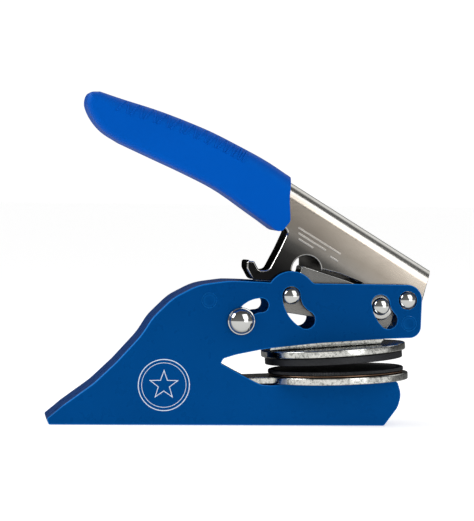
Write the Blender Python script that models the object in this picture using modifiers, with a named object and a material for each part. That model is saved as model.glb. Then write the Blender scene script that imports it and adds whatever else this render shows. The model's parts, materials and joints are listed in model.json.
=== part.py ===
"""Hand-held seal embossing press, modelled as separate pieces.

Metres in the scene, +Z up, +X towards the dies' front end, the squeeze happens in the XZ plane.
The origin is on the surface that the press stands on, under the middle of its box.
Numbers in this file are millimetres and degrees; MM turns them into metres where an object is made.
"""

import math

import bmesh
import bpy
from mathutils import Vector

MM = 0.001
ARC_STEP = 15.0  # largest turn between two points of a round stretch, degrees
ROUND_STEPS = 28  # sides of a turned piece
DISC_STEPS = 48  # sides of a die or die plate
GAP = 0.3  # clearance between pieces that touch on the real press

# Layers across the width, as distances from the middle plane
CHEEK_OUT = 14.0
CHEEK_IN = 12.0
WASHER_OUT = 11.7
WASHER_IN = 10.9
HANDLE_OUT = 10.6
ARM_OUT = 8.6
SHEET = 1.6  # thickness of the handle's and the arm's sheet steel

# Pins and pivots in the XZ plane
PIVOT = Vector((66.3, 50.0))  # the handle turns about this pin
CRANK = 10.9  # from the pivot to the press pin
CRANK_ANGLE = 193.8
GUIDE_PIN = Vector((19.6, 51.3))
REAR_SPACER = Vector((-13.1, 49.4))
FRONT_SPACER = Vector((66.9, 40.8))
LOCK_CENTRE = Vector((7.8, 39.2))  # middle of the arc that the lock pin swings along
LOCK_RADIUS = 8.4
LOCK_REST = 166.0
LOCK_SWING = 76.0
LOCK_SHAFT = 1.5  # radius
LOCK_COLLAR = 2.4  # radius where the lock pin runs in the cheeks' slots
PIN_RADIUS = 3.25
PIN_DOME = 1.7  # height of a pin's domed end
NECK_RADIUS = 1.25
GUIDE_SHANK = 2.1  # radius of the guide pin where it runs in the cheeks' slots
SPACER_RADIUS = 2.7
SPACER_SHOULDER = 4.2
ROLLER_RADIUS = 4.9

# Squeeze: the handle's stroke and the turn of the press arm that it makes
STROKE = 19.5
CLOSING = 1.85

# Dies
DIE_CENTRE = 39.5
DIE_FACE = 22.1  # height of the lower die's face at its centre
SEAT_TILT = 2.2
PLATE_RADIUS = 29.0
UPPER_DIE_RADIUS = 27.6
LOWER_DIE_RADIUS = 27.2
PLATE_THICK = 2.8
LOWER_DIE_THICK = 1.2
UPPER_DIE_THICK = 2.75
SHIM_THICK = 0.3
SHOE_THICK = 2.0
SHOE_HALF_WIDTH = 11.2
TONGUE_HALF_WIDTH = 11.4
WEB_THICK = 2.9  # the body's cross wall under the lower die plate
SCREW_SPREAD = 9.0  # from the die's centre to each screw
SCREW_RADIUS = 1.4
SCREW_HEAD = 2.6
SCREW_HEAD_THICK = 1.4
SCREW_REACH = 2.2  # how far a screw goes into a die plate
DRILL_STEPS = 20

# Handle, grip and spring
BEND = 5.4  # outer radius of the handle's bent edge
WEB_STEP = 0.1  # how far the far cheek's web lies inside the faces of that cheek
GRIP_HALF_WIDTH = 13.4
GRIP_ROUNDING = 5.0
KNOB_RADIUS = 4.7
KNOB_FLANGE = 5.5
KNOB_DOME = 3.4
WIRE_RADIUS = 0.7
COIL_RADIUS = 4.9
COIL_PITCH = 1.9
COIL_TURNS = 3

BLUE = (0.004, 0.045, 0.200)
GRIP_BLUE = (0.000, 0.090, 0.560)
CHROME = (0.78, 0.78, 0.77)
STEEL = (0.52, 0.50, 0.47)
BLACK = (0.015, 0.016, 0.018)
COPPER = (0.45, 0.20, 0.09)


# ---------------------------------------------------------------- scene and materials


def clear_scene():
    for obj in list(bpy.data.objects):
        bpy.data.objects.remove(obj, do_unlink=True)


def new_collection(name):
    made = bpy.data.collections.new(name)
    bpy.context.scene.collection.children.link(made)
    return made


def material(name, colour, metallic, roughness):
    made = bpy.data.materials.new(name)
    made.use_nodes = True
    shader = made.node_tree.nodes["Principled BSDF"]
    shader.inputs["Base Color"].default_value = (*colour, 1.0)
    shader.inputs["Metallic"].default_value = metallic
    shader.inputs["Roughness"].default_value = roughness
    return made


# ---------------------------------------------------------------- geometry in the side plane


def on_circle(centre, radius, degrees):
    turn = math.radians(degrees)
    return Vector((centre[0] + radius * math.cos(turn), centre[1] + radius * math.sin(turn)))


def turned(point, pivot, degrees):
    turn = math.radians(degrees)
    dx, dz = point[0] - pivot[0], point[1] - pivot[1]
    return Vector(
        (
            pivot[0] + dx * math.cos(turn) - dz * math.sin(turn),
            pivot[1] + dx * math.sin(turn) + dz * math.cos(turn),
        )
    )


def arc(centre, radius, start, end, step=ARC_STEP):
    count = max(2, math.ceil(abs(end - start) / step))
    return [on_circle(centre, radius, start + (end - start) * i / count) for i in range(count + 1)]


def rounded(corners):
    """An outline from (x, z) points and (x, z, radius) corners, with each corner turned into an arc."""
    points = []
    for i, corner in enumerate(corners):
        here = Vector(corner[:2])
        radius = corner[2] if len(corner) > 2 else 0.0
        before = (Vector(corners[i - 1][:2]) - here).normalized()
        after = (Vector(corners[(i + 1) % len(corners)][:2]) - here).normalized()
        half = before.angle(after) / 2
        if radius == 0.0 or half > math.radians(88):
            points.append(here)
            continue
        centre = here + (before + after).normalized() * radius / math.sin(half)
        first = here + before * radius / math.tan(half) - centre
        swing = before.angle(after) - math.pi
        sign = 1 if before.cross(after) > 0 else -1
        start = math.degrees(math.atan2(first.y, first.x))
        points += arc(centre, radius, start, start + sign * math.degrees(swing))
    return points


def offset_path(path, distance):
    """The same open path, moved sideways to its left by distance."""
    moved = []
    for i, point in enumerate(path):
        ahead = (path[min(i + 1, len(path) - 1)] - path[max(i - 1, 0)]).normalized()
        moved.append(point + Vector((-ahead.y, ahead.x)) * distance)
    return moved


def arc_slot(centre, radius, start, end, half_width):
    """A slot of even width that follows an arc, with round ends."""
    outer = arc(centre, radius + half_width, start, end)
    inner = arc(centre, radius - half_width, end, start)
    far_end = arc(on_circle(centre, radius, end), half_width, end, end + 180, 30)[1:-1]
    near_end = arc(on_circle(centre, radius, start), half_width, start + 180, start + 360, 30)[1:-1]
    return outer + far_end + inner + near_end


def press_pole():
    """The point that the press arm turns about while its two pins slide from open to closed."""
    half_stroke = math.radians(STROKE / 2)
    half_closing = math.radians(CLOSING / 2)
    reach = CRANK * (math.cos(half_stroke) + math.sin(half_stroke) / math.tan(half_closing))
    return on_circle(PIVOT, reach, CRANK_ANGLE + STROKE / 2)


PRESS_PIN = on_circle(PIVOT, CRANK, CRANK_ANGLE)
LOCK_PIN = on_circle(LOCK_CENTRE, LOCK_RADIUS, LOCK_REST)
POLE = press_pole()
LOWER_FACE = Vector((DIE_CENTRE, DIE_FACE))
UPPER_FACE = turned(LOWER_FACE + Vector((0.0, GAP)), POLE, CLOSING)
UPPER_TILT = SEAT_TILT + CLOSING

# Heights of each layer, measured square to the die's face
LOWER_SHIM_TOP = -LOWER_DIE_THICK - GAP
LOWER_PLATE_TOP = LOWER_SHIM_TOP - SHIM_THICK - GAP
LOWER_PLATE_BOTTOM = LOWER_PLATE_TOP - PLATE_THICK
UPPER_PLATE_BOTTOM = UPPER_DIE_THICK + GAP
UPPER_PLATE_TOP = UPPER_PLATE_BOTTOM + PLATE_THICK
SHOE_BOTTOM = UPPER_PLATE_TOP + GAP
ARM_FOOT = SHOE_BOTTOM + SHOE_THICK + GAP


def tilted(face, tilt, along, height):
    """A point that lies along a tilted die face, and height above it."""
    turn = math.radians(tilt)
    return Vector(
        (
            face[0] + along * math.cos(turn) - height * math.sin(turn),
            face[1] + along * math.sin(turn) + height * math.cos(turn),
        )
    )


# ---------------------------------------------------------------- objects


def finish_mesh(mesh, name, finish, collection):
    mesh.name = name
    made = bpy.data.objects.new(name, mesh)
    collection.objects.link(made)
    if finish:
        mesh.materials.clear()
        mesh.materials.append(finish)
    else:
        made.hide_render = True
        made.display_type = "WIRE"
    return made


def plate(name, loops, half_width, finish, collection):
    """A flat outline in the side plane, with holes as further loops, half_width thick each way."""
    curve = bpy.data.curves.new(name, "CURVE")
    curve.dimensions = "2D"
    curve.fill_mode = "BOTH"
    curve.extrude = half_width * MM
    for loop in loops:
        spline = curve.splines.new("POLY")
        spline.points.add(len(loop) - 1)
        for control, point in zip(spline.points, loop):
            control.co = (point[0] * MM, point[1] * MM, 0.0, 1.0)
        spline.use_cyclic_u = True
    drawn = bpy.data.objects.new(name, curve)
    collection.objects.link(drawn)
    drawn.rotation_euler = (math.radians(90), 0.0, 0.0)
    bpy.context.view_layer.update()
    graph = bpy.context.evaluated_depsgraph_get()
    mesh = bpy.data.meshes.new_from_object(drawn.evaluated_get(graph))
    mesh.transform(drawn.matrix_world)
    bpy.data.objects.remove(drawn, do_unlink=True)
    body = bmesh.new()
    body.from_mesh(mesh)
    bmesh.ops.remove_doubles(body, verts=body.verts, dist=0.00001)
    bmesh.ops.recalc_face_normals(body, faces=body.faces)
    body.to_mesh(mesh)
    body.free()
    shade_round_stretches(mesh)
    return finish_mesh(mesh, name, finish, collection)


def shade_round_stretches(mesh, degrees=35):
    """Smooth shading, broken where two faces meet at more than an angle."""
    for polygon in mesh.polygons:
        polygon.use_smooth = True
    mesh.set_sharp_from_angle(angle=math.radians(degrees))


def turned_piece(name, profile, finish, collection, steps=ROUND_STEPS):
    """A solid of revolution about its local Z, from (radius, height) points that run from top to bottom."""
    mesh = bpy.data.meshes.new(name)
    points = [(radius * MM, 0.0, height * MM) for radius, height in profile]
    mesh.from_pydata(points, [(i, i + 1) for i in range(len(points) - 1)], [])
    made = finish_mesh(mesh, name, finish, collection)
    screw = made.modifiers.new("Turn", "SCREW")
    screw.steps = steps
    screw.render_steps = steps
    screw.use_smooth_shade = True
    screw.use_merge_vertices = True
    screw.merge_threshold = 0.00001
    return made


def across(made, centre):
    """Lays a turned piece across the press, its axis along Y, through a point of the side plane."""
    made.rotation_euler = (math.radians(-90), 0.0, 0.0)
    made.location = (centre[0] * MM, 0.0, centre[1] * MM)
    return made


def on_face(made, face, tilt, along=0.0):
    """Stands a turned piece on a tilted die face."""
    spot = tilted(face, tilt, along, 0.0)
    made.rotation_euler = (0.0, -math.radians(tilt), 0.0)
    made.location = (spot[0] * MM, 0.0, spot[1] * MM)
    return made


def boolean(made, tool, operation="DIFFERENCE"):
    step = made.modifiers.new(tool.name, "BOOLEAN")
    step.operation = operation
    step.object = tool
    step.solver = "EXACT"


def cut(made, *tools):
    for tool in tools:
        boolean(made, tool)


def flat_side_borders(mesh):
    """The edges, as pairs of vertex numbers, where a flat side meets an edge wall."""
    sides = {}
    for face in mesh.polygons:
        for key in face.edge_keys:
            sides.setdefault(key, set()).add(abs(face.normal.y) > 0.5)
    return {key for key, kinds in sides.items() if len(kinds) == 2}


def round_rim(made, amount, segments, chosen=None):
    """Rounds the borders of both flat sides; chosen(x, z) picks which stretch of the outline is rounded."""
    mesh = made.data
    borders = flat_side_borders(mesh)
    weights = mesh.attributes.new("bevel_weight_edge", "FLOAT", "EDGE")
    for edge in mesh.edges:
        ends = [mesh.vertices[i].co / MM for i in edge.vertices]
        picked = chosen is None or all(chosen(end.x, end.z) for end in ends)
        weights.data[edge.index].value = float(picked and edge.key in borders)
    bevel = made.modifiers.new("Rim", "BEVEL")
    bevel.limit_method = "WEIGHT"
    bevel.width = amount * MM
    bevel.segments = segments
    return made


def rod(name, centre, radius, half_length, collection, finish=None):
    profile = [(0.0, half_length), (radius, half_length), (radius, -half_length), (0.0, -half_length)]
    return across(turned_piece(name, profile, finish, collection), centre)


def dome_profile(radius, base, height, count=5):
    """Points of a domed end, from its top down to its rim."""
    turns = [math.radians(90 * i / count) for i in range(count + 1)]
    return [(radius * math.sin(turn), base + height * math.cos(turn)) for turn in turns]


def mirrored_profile(half):
    """The lower half of a profile is the upper half turned over."""
    return half + [(radius, -height) for radius, height in reversed(half)]


# ---------------------------------------------------------------- the body


def body_outline():
    hump = [(p.x, p.y) for p in arc(GUIDE_PIN, 9.9, 148, 38)]
    return rounded(
        [
            (-75.9, 0.0, 0.5),
            (-76.6, 2.4, 0.8),
            (-73.2, 5.2, 2.0),
            (-70.2, 7.8, 2.0),
            (-58.6, 16.3, 24.0),
            (-49.8, 24.6, 40.0),
            (-39.8, 35.6, 30.0),
            (-35.6, 42.4, 20.0),
            (-27.4, 50.4, 20.0),
            (-17.4, 55.6, 22.0),
            (-6.0, 57.2, 20.0),
            (0.0, 57.1),
            (9.6, 56.7, 4.0),
        ]
        + hump
        + [
            (28.6, 56.4, 2.0),
            (72.2, 56.2, 6.0),
            (71.6, 35.2, 4.6),
            (57.0, 34.6),
            (32.2, 32.9, 60.0),
            (9.7, 30.4, 60.0),
            (-2.0, 28.0, 12.0),
            (-7.2, 26.4, 1.8),
            (-8.2, 24.4, 0.6),
            (-0.2, 20.1, 30.0),
            (8.0, 16.0, 8.0),
            jaw_top(11.8),
            jaw_top(62.4) + (1.6,),
            (64.2, 12.4, 8.0),
            (62.9, 7.4, 8.0),
            (57.4, 0.0, 0.8),
        ]
    )


def jaw_top(x):
    """The lower cheeks' top edge, just under the lower die plate."""
    spot = tilted(LOWER_FACE, SEAT_TILT, x - DIE_CENTRE, LOWER_PLATE_BOTTOM - GAP)
    return (spot[0], spot[1])


def cavity_outline():
    roof_end = -0.4  # the spine stops here, clear of the hook's path
    web_top = -0.5
    web_bottom = web_top - WEB_THICK
    left, right = jaw_top(9.0), jaw_top(59.4)
    beyond = jaw_top(95.0)
    return rounded(
        [
            (-68.4, -3.0),
            (-68.4, 5.8, 1.2),
            (-57.0, 14.4, 21.0),
            (-48.0, 22.9, 37.0),
            (-37.8, 34.2, 27.0),
            (-33.7, 40.9, 17.0),
            (-26.0, 48.3, 17.0),
            (-16.6, 53.2, 19.0),
            (-6.0, 54.7, 17.0),
            (roof_end, 54.6),
            (roof_end, 80.0),
            (95.0, 80.0),
            (beyond[0], beyond[1] + web_top),
            (left[0], left[1] + web_top),
            (left[0], left[1] + web_bottom),
            (right[0], right[1] + web_bottom, 2.0),
            (61.6, 11.0, 6.0),
            (60.4, 7.6, 6.0),
            (53.6, -3.0),
        ]
    )


def make_body(pieces, tools, paint, pad_finish, chrome):
    shell = plate("body_shell", [body_outline()], CHEEK_OUT, paint, pieces)
    hollow = plate("cut_hollow", [cavity_outline()], CHEEK_IN, None, tools)
    reach = CHEEK_OUT + 5
    slot_half = PIN_RADIUS + 0.35
    lock_slot = arc_slot(LOCK_CENTRE, LOCK_RADIUS, LOCK_REST - LOCK_SWING, LOCK_REST, 2.8)
    guide_slot = arc_slot((31.0, 52.0), 11.4, 182, 242, slot_half)
    press_slot = arc_slot(PIVOT, 11.0, 187, 226, slot_half)
    cut(shell, hollow)
    for name, loop in (("lock", lock_slot), ("guide", guide_slot), ("press", press_slot)):
        cut(shell, plate("cut_slot_" + name, [loop], reach, None, tools))
    for name, spot, radius in (
        ("pivot", PIVOT, PIN_RADIUS + 0.45),
        ("rear", REAR_SPACER, SPACER_RADIUS + GAP),
        ("front", FRONT_SPACER, SPACER_RADIUS + GAP),
    ):
        cut(shell, rod("cut_hole_" + name, spot, radius, reach, tools))
    for i, along in enumerate((-SCREW_SPREAD, SCREW_SPREAD)):
        hole = [(0.0, 2.0), (SCREW_RADIUS + GAP, 2.0), (SCREW_RADIUS + GAP, -20.0), (0.0, -20.0)]
        drill = turned_piece(f"cut_web_{i}", hole, None, tools, DRILL_STEPS)
        cut(shell, on_face(drill, jaw_centre(), SEAT_TILT, along))
    make_base_pad(pieces, pad_finish)
    rear = [
        (0.0, CHEEK_OUT - 0.05),
        (SPACER_RADIUS, CHEEK_OUT - 0.05),
        (SPACER_RADIUS, WASHER_OUT),
        (SPACER_SHOULDER, WASHER_OUT),
    ]
    front = [(0.0, CHEEK_OUT - 0.05), (SPACER_RADIUS, CHEEK_OUT - 0.05)]
    across(turned_piece("rear_spacer_pin", mirrored_profile(rear), paint, pieces), REAR_SPACER)
    across(turned_piece("front_spacer_pin", mirrored_profile(front), paint, pieces), FRONT_SPACER)
    across(turned_piece("handle_pivot_pin", domed_pin(), chrome, pieces), PIVOT)
    return shell


def jaw_centre():
    return tilted(LOWER_FACE, SEAT_TILT, 0.0, LOWER_PLATE_BOTTOM - GAP)


def domed_pin():
    return mirrored_profile(dome_profile(PIN_RADIUS, CHEEK_OUT - 0.4, PIN_DOME))


def make_base_pad(pieces, finish):
    """A moulded pad that closes the underside between the cheeks."""
    start, end, depth = -67.9, 52.9, 2.4
    outline = rounded([(start, 0.0), (end, 0.0), (end + 1.5, depth), (start, depth)])
    pad = plate("base_pad", [outline], CHEEK_IN - GAP, finish, pieces)
    return pad


# ---------------------------------------------------------------- dies


def disc(radius, top, bottom, chamfer):
    return [
        (0.0, top),
        (radius - chamfer, top),
        (radius, top - chamfer),
        (radius, bottom + chamfer),
        (radius - chamfer, bottom),
        (0.0, bottom),
    ]


def make_lower_die(pieces, tools, chrome, black, copper, steel):
    tongue_end = 0.8
    plate_profile = disc(PLATE_RADIUS, LOWER_PLATE_TOP, LOWER_PLATE_BOTTOM, 0.4)
    seat = turned_piece("lower_die_plate", plate_profile, chrome, pieces, DISC_STEPS)
    on_face(seat, LOWER_FACE, SEAT_TILT)
    tongue = [
        tilted(LOWER_FACE, SEAT_TILT, along, height)
        for along, height in (
            (tongue_end - DIE_CENTRE, LOWER_PLATE_BOTTOM + 0.1),
            (-10.0, LOWER_PLATE_BOTTOM + 0.1),
            (-10.0, LOWER_PLATE_TOP - 0.1),
            (tongue_end - DIE_CENTRE, LOWER_PLATE_TOP - 0.1),
        )
    ]
    boolean(seat, plate("join_tongue", [tongue], TONGUE_HALF_WIDTH, None, tools), "UNION")
    shim = disc(LOWER_DIE_RADIUS - 0.3, LOWER_SHIM_TOP, LOWER_SHIM_TOP - SHIM_THICK, 0.05)
    on_face(turned_piece("lower_die_shim", shim, copper, pieces, DISC_STEPS), LOWER_FACE, SEAT_TILT)
    die = disc(LOWER_DIE_RADIUS, 0.0, -LOWER_DIE_THICK, 0.25)
    on_face(turned_piece("lower_die", die, black, pieces, DISC_STEPS), LOWER_FACE, SEAT_TILT)
    depth = SCREW_REACH
    for i, along in enumerate((-SCREW_SPREAD, SCREW_SPREAD)):
        hole = [(0.0, depth), (SCREW_RADIUS + GAP, depth), (SCREW_RADIUS + GAP, -1.0), (0.0, -1.0)]
        drill = turned_piece(f"cut_seat_{i}", hole, None, tools, DRILL_STEPS)
        seat_under = tilted(LOWER_FACE, SEAT_TILT, 0.0, LOWER_PLATE_BOTTOM)
        cut(seat, on_face(drill, seat_under, SEAT_TILT, along))
        web_under = -0.5 - WEB_THICK - GAP
        screw = [
            (0.0, GAP + depth - 0.3),
            (SCREW_RADIUS, GAP + depth - 0.3),
            (SCREW_RADIUS, web_under),
            (SCREW_HEAD, web_under),
            (SCREW_HEAD, web_under - SCREW_HEAD_THICK),
            (0.0, web_under - SCREW_HEAD_THICK),
        ]
        name = ("rear_seat_screw", "front_seat_screw")[i]
        on_face(turned_piece(name, screw, steel, pieces, 24), jaw_centre(), SEAT_TILT, along)


def make_upper_die(pieces, tools, chrome, black, steel):
    plate_profile = disc(PLATE_RADIUS, UPPER_PLATE_TOP, UPPER_PLATE_BOTTOM, 0.4)
    holder = turned_piece("upper_die_plate", plate_profile, chrome, pieces, DISC_STEPS)
    on_face(holder, UPPER_FACE, UPPER_TILT)
    die = disc(UPPER_DIE_RADIUS, UPPER_DIE_THICK, 0.0, 0.25)
    on_face(turned_piece("upper_die", die, black, pieces, DISC_STEPS), UPPER_FACE, UPPER_TILT)
    shoe_outline = [
        tilted(UPPER_FACE, UPPER_TILT, along, height)
        for along, height in (
            (-27.0, SHOE_BOTTOM),
            (17.8, SHOE_BOTTOM),
            (19.8, SHOE_BOTTOM + SHOE_THICK),
            (-26.0, SHOE_BOTTOM + SHOE_THICK),
        )
    ]
    shoe = plate("press_shoe", [shoe_outline], SHOE_HALF_WIDTH, chrome, pieces)
    depth = SCREW_REACH
    for i, along in enumerate((-SCREW_SPREAD, SCREW_SPREAD)):
        radius = SCREW_RADIUS + GAP
        blind = [(0.0, 1.0), (radius, 1.0), (radius, -depth), (0.0, -depth)]
        drill = turned_piece(f"cut_holder_{i}", blind, None, tools, DRILL_STEPS)
        holder_top = tilted(UPPER_FACE, UPPER_TILT, 0.0, UPPER_PLATE_TOP)
        cut(holder, on_face(drill, holder_top, UPPER_TILT, along))
        through = [(0.0, 8.0), (radius, 8.0), (radius, -1.0), (0.0, -1.0)]
        punch = turned_piece(f"cut_shoe_{i}", through, None, tools, DRILL_STEPS)
        shoe_under = tilted(UPPER_FACE, UPPER_TILT, 0.0, SHOE_BOTTOM)
        cut(shoe, on_face(punch, shoe_under, UPPER_TILT, along))
        head = ARM_FOOT + SHEET + GAP
        screw = [
            (0.0, head + SCREW_HEAD_THICK),
            (SCREW_HEAD, head + SCREW_HEAD_THICK),
            (SCREW_HEAD, head),
            (SCREW_RADIUS, head),
            (SCREW_RADIUS, UPPER_PLATE_TOP - depth + 0.3),
            (0.0, UPPER_PLATE_TOP - depth + 0.3),
        ]
        name = ("rear_shoe_screw", "front_shoe_screw")[i]
        on_face(turned_piece(name, screw, steel, pieces, 24), UPPER_FACE, UPPER_TILT, along)


# ---------------------------------------------------------------- press arm


def make_press_arm(pieces, tools, steel, chrome):
    foot_left = tilted(UPPER_FACE, UPPER_TILT, -26.0, ARM_FOOT)
    foot_right = tilted(UPPER_FACE, UPPER_TILT, 18.0, ARM_FOOT)
    floor_left = tilted(UPPER_FACE, UPPER_TILT, -26.0, ARM_FOOT + SHEET)
    floor_right = tilted(UPPER_FACE, UPPER_TILT, -2.0, ARM_FOOT + SHEET)
    outline = rounded(
        [
            (foot_left[0], foot_left[1]),
            (foot_right[0], foot_right[1]),
            (61.4, 42.0, 5.0),
            (61.4, 51.6, 4.0),
            (52.6, 53.4, 6.0),
            (43.5, 57.2, 20.0),
            (24.4, 63.2, 0.8),
            (23.6, 59.6, 3.0),
            (14.6, 56.2, 4.5),
            (15.0, 45.0, 2.0),
            (33.6, 42.2, 4.0),
            (floor_right[0], floor_right[1] + 0.2, 3.0),
            (floor_left[0], floor_left[1]),
        ]
    )
    press_hole = arc(PRESS_PIN, PIN_RADIUS + 0.5, 0, 360, 15)[:-1]
    guide_hole = arc(GUIDE_PIN, NECK_RADIUS + GAP, 0, 360, 20)[:-1]
    arm = plate("press_arm", [outline, press_hole, guide_hole], ARM_OUT, steel, pieces)
    roof = [Vector((49.6, 54.6)), Vector((43.5, 57.2)), Vector((24.4, 63.2)), Vector((10.0, 67.7))]
    inner_roof = offset_path(roof, SHEET)
    floor_a = tilted(UPPER_FACE, UPPER_TILT, -40.0, ARM_FOOT + SHEET)
    floor_b = tilted(UPPER_FACE, UPPER_TILT, 50.0, ARM_FOOT + SHEET)
    inside = [tuple(floor_a), tuple(floor_b), (floor_b[0], 80.0), (inner_roof[0][0], 80.0)]
    inside += [tuple(p) for p in inner_roof]
    inside += [(floor_a[0], inner_roof[-1][1])]
    cut(arm, plate("cut_arm_inside", [inside], ARM_OUT - SHEET, None, tools))
    head = CHEEK_OUT + 0.15
    for i, along in enumerate((-SCREW_SPREAD, SCREW_SPREAD)):
        radius = SCREW_RADIUS + GAP
        through = [(0.0, 1.0), (radius, 1.0), (radius, -3.0), (0.0, -3.0)]
        drill = turned_piece(f"cut_foot_{i}", through, None, tools, DRILL_STEPS)
        foot_top = tilted(UPPER_FACE, UPPER_TILT, 0.0, ARM_FOOT + SHEET)
        cut(arm, on_face(drill, foot_top, UPPER_TILT, along))
    guide = dome_profile(PIN_RADIUS, head + 0.3, PIN_DOME) + [(PIN_RADIUS, head), (GUIDE_SHANK, head)]
    guide += [(GUIDE_SHANK, CHEEK_IN), (PIN_RADIUS, CHEEK_IN - GAP)]
    guide += [(PIN_RADIUS, WASHER_IN), (NECK_RADIUS, WASHER_IN)]
    across(turned_piece("guide_pin", mirrored_profile(guide), chrome, pieces), GUIDE_PIN)
    return arm


# ---------------------------------------------------------------- handle


def handle_top():
    """The handle's upper line, from its front end back along the grip."""
    return [
        Vector((76.4, 61.6)),
        Vector((48.0, 79.0)),
        Vector((19.4, 96.5)),
        Vector((8.6, 102.4)),
        Vector((-3.6, 108.2)),
        Vector((-15.6, 113.5)),
        Vector((-33.0, 119.9)),
        Vector((-48.6, 124.8)),
        Vector((-54.4, 126.0)),
    ]


def handle_under():
    """The handle's lower line under the grip, from its rear end forwards."""
    return [
        (-56.6, 121.0),
        (-49.4, 115.4),
        (-37.2, 110.0),
        (-21.8, 102.8),
        (-9.2, 96.2),
        (3.2, 88.0),
        (12.6, 81.2),
    ]


def handle_outline():
    boss = [(p.x, p.y) for p in arc(PRESS_PIN, 5.6, 150, 300)]
    heel = [(p.x, p.y) for p in arc(PIVOT, 6.0, 232, 296)]
    notch = [(p.x, p.y) for p in arc((25.9, 61.6), 5.8, 0, 180)]
    top = [(p.x, p.y) for p in reversed(handle_top())]
    under = list(reversed(handle_under()))
    return rounded(
        top
        + [(73.0, 50.6), (71.0, 43.8, 2.5)]
        + list(reversed(heel))
        + list(reversed(boss))
        + [(48.4, 56.4, 3.0), (40.0, 60.0, 20.0), (32.6, 61.8, 0.8)]
        + notch
        + [(20.0, 61.2), (17.4, 57.0, 1.6), (4.6, 57.2, 2.4), (2.0, 62.0, 3.0), (2.2, 65.1, 0.9)]
        + [(5.0, 64.9, 0.7), (6.9, 61.3, 1.7), (10.8, 61.3, 2.4), (12.4, 64.4, 4.0), (15.1, 69.6)]
        + [(18.4, 76.8, 1.6), (15.4, 80.0, 3.0)]
        + under
    )


def far_cheek_web(tools):
    """Extra depth of the far cheek: it closes that side behind the notch, clear of the guide pin's neck."""
    outline = rounded(
        [
            (25.4, 60.6, 0.6),
            (25.4, 68.6),
            (36.0, 66.5),
            (50.5, 58.5),
            (51.5, 52.6),
            (47.2, 54.6, 3.0),
            (40.0, 57.8, 20.0),
            (31.5, 60.2, 20.0),
        ]
    )
    web = plate("far_cheek_web", [outline], SHEET / 2 - WEB_STEP, None, tools)
    web.location.y = (HANDLE_OUT - SHEET / 2) * MM
    return web


def make_handle(pieces, tools, steel, rubber, chrome):
    lever = plate("handle_lever", [handle_outline()], HANDLE_OUT, steel, pieces)
    top_line = handle_top()

    def near_top(x, z):
        return min_distance((x, z), top_line) < 0.4

    round_rim(lever, BEND, 3, near_top)
    inner = offset_path(top_line, SHEET)
    inner[0] += Vector((9.0, -5.5))
    inside = [(p[0], p[1]) for p in inner] + [(-40.0, 60.0), (-5.0, 20.0), (95.0, 20.0)]
    hollow = plate("cut_handle_inside", [inside], HANDLE_OUT - SHEET, None, tools)
    round_rim(hollow, BEND - SHEET, 3, lambda x, z: min_distance((x, z), inner) < 0.4)
    cut(lever, hollow)
    boolean(lever, far_cheek_web(tools), "UNION")
    for name, spot in (("pivot", PIVOT), ("press", PRESS_PIN)):
        cut(lever, rod("cut_lever_" + name, spot, PIN_RADIUS + GAP, 20, tools))
    make_grip(pieces, tools, rubber)
    across(turned_piece("press_pin", domed_pin(), chrome, pieces), PRESS_PIN)
    for name, side in (("near_press_roller", -1), ("far_press_roller", 1)):
        low, high = sorted((side * WASHER_IN, side * WASHER_OUT))
        bore = PIN_RADIUS + GAP
        ring = [(bore, high), (ROLLER_RADIUS, high), (ROLLER_RADIUS, low), (bore, low), (bore, high)]
        across(turned_piece(name, ring, steel, pieces, 32), PRESS_PIN)
    return lever


def min_distance(point, path):
    """Distance from a point of the side plane to a path of straight stretches."""
    best = 1e9
    spot = Vector(point)
    for a, b in zip(path, path[1:]):
        run = b - a
        part = max(0.0, min(1.0, (spot - a).dot(run) / run.length_squared))
        best = min(best, (spot - a - run * part).length)
    return best


def grip_outline():
    return rounded(
        [
            (19.2, 98.5, 1.0),
            (18.5, 88.0, 20.0),
            (18.9, 81.0, 3.0),
            (15.2, 76.4, 3.0),
            (3.4, 84.0, 60.0),
            (-9.2, 92.6, 60.0),
            (-21.6, 98.9, 60.0),
            (-48.6, 111.1, 20.0),
            (-56.4, 116.6, 10.0),
            (-62.4, 125.2, 6.0),
            (-61.4, 132.6, 3.0),
            (-48.8, 128.6, 40.0),
            (-32.4, 123.6, 80.0),
            (-15.2, 117.1, 80.0),
            (-3.0, 111.3, 80.0),
            (9.2, 104.9, 80.0),
        ]
    )


def make_grip(pieces, tools, rubber):
    grip = plate("grip_sleeve", [grip_outline()], GRIP_HALF_WIDTH, rubber, pieces)
    round_rim(grip, GRIP_ROUNDING, 3)
    top = [(p.x, p.y) for p in offset_path(handle_top()[1:], -GAP)]
    under = [(x - 0.1, z - 0.35) for x, z in handle_under()]
    bore = top + [(-55.8, 126.2), (-57.6, 121.0)] + under + [(15.5, 79.2), (40.0, 62.0)]
    cutter = plate("cut_grip_bore", [bore], HANDLE_OUT + GAP, None, tools)
    cut(grip, cutter)
    return grip


# ---------------------------------------------------------------- lock and spring


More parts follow.
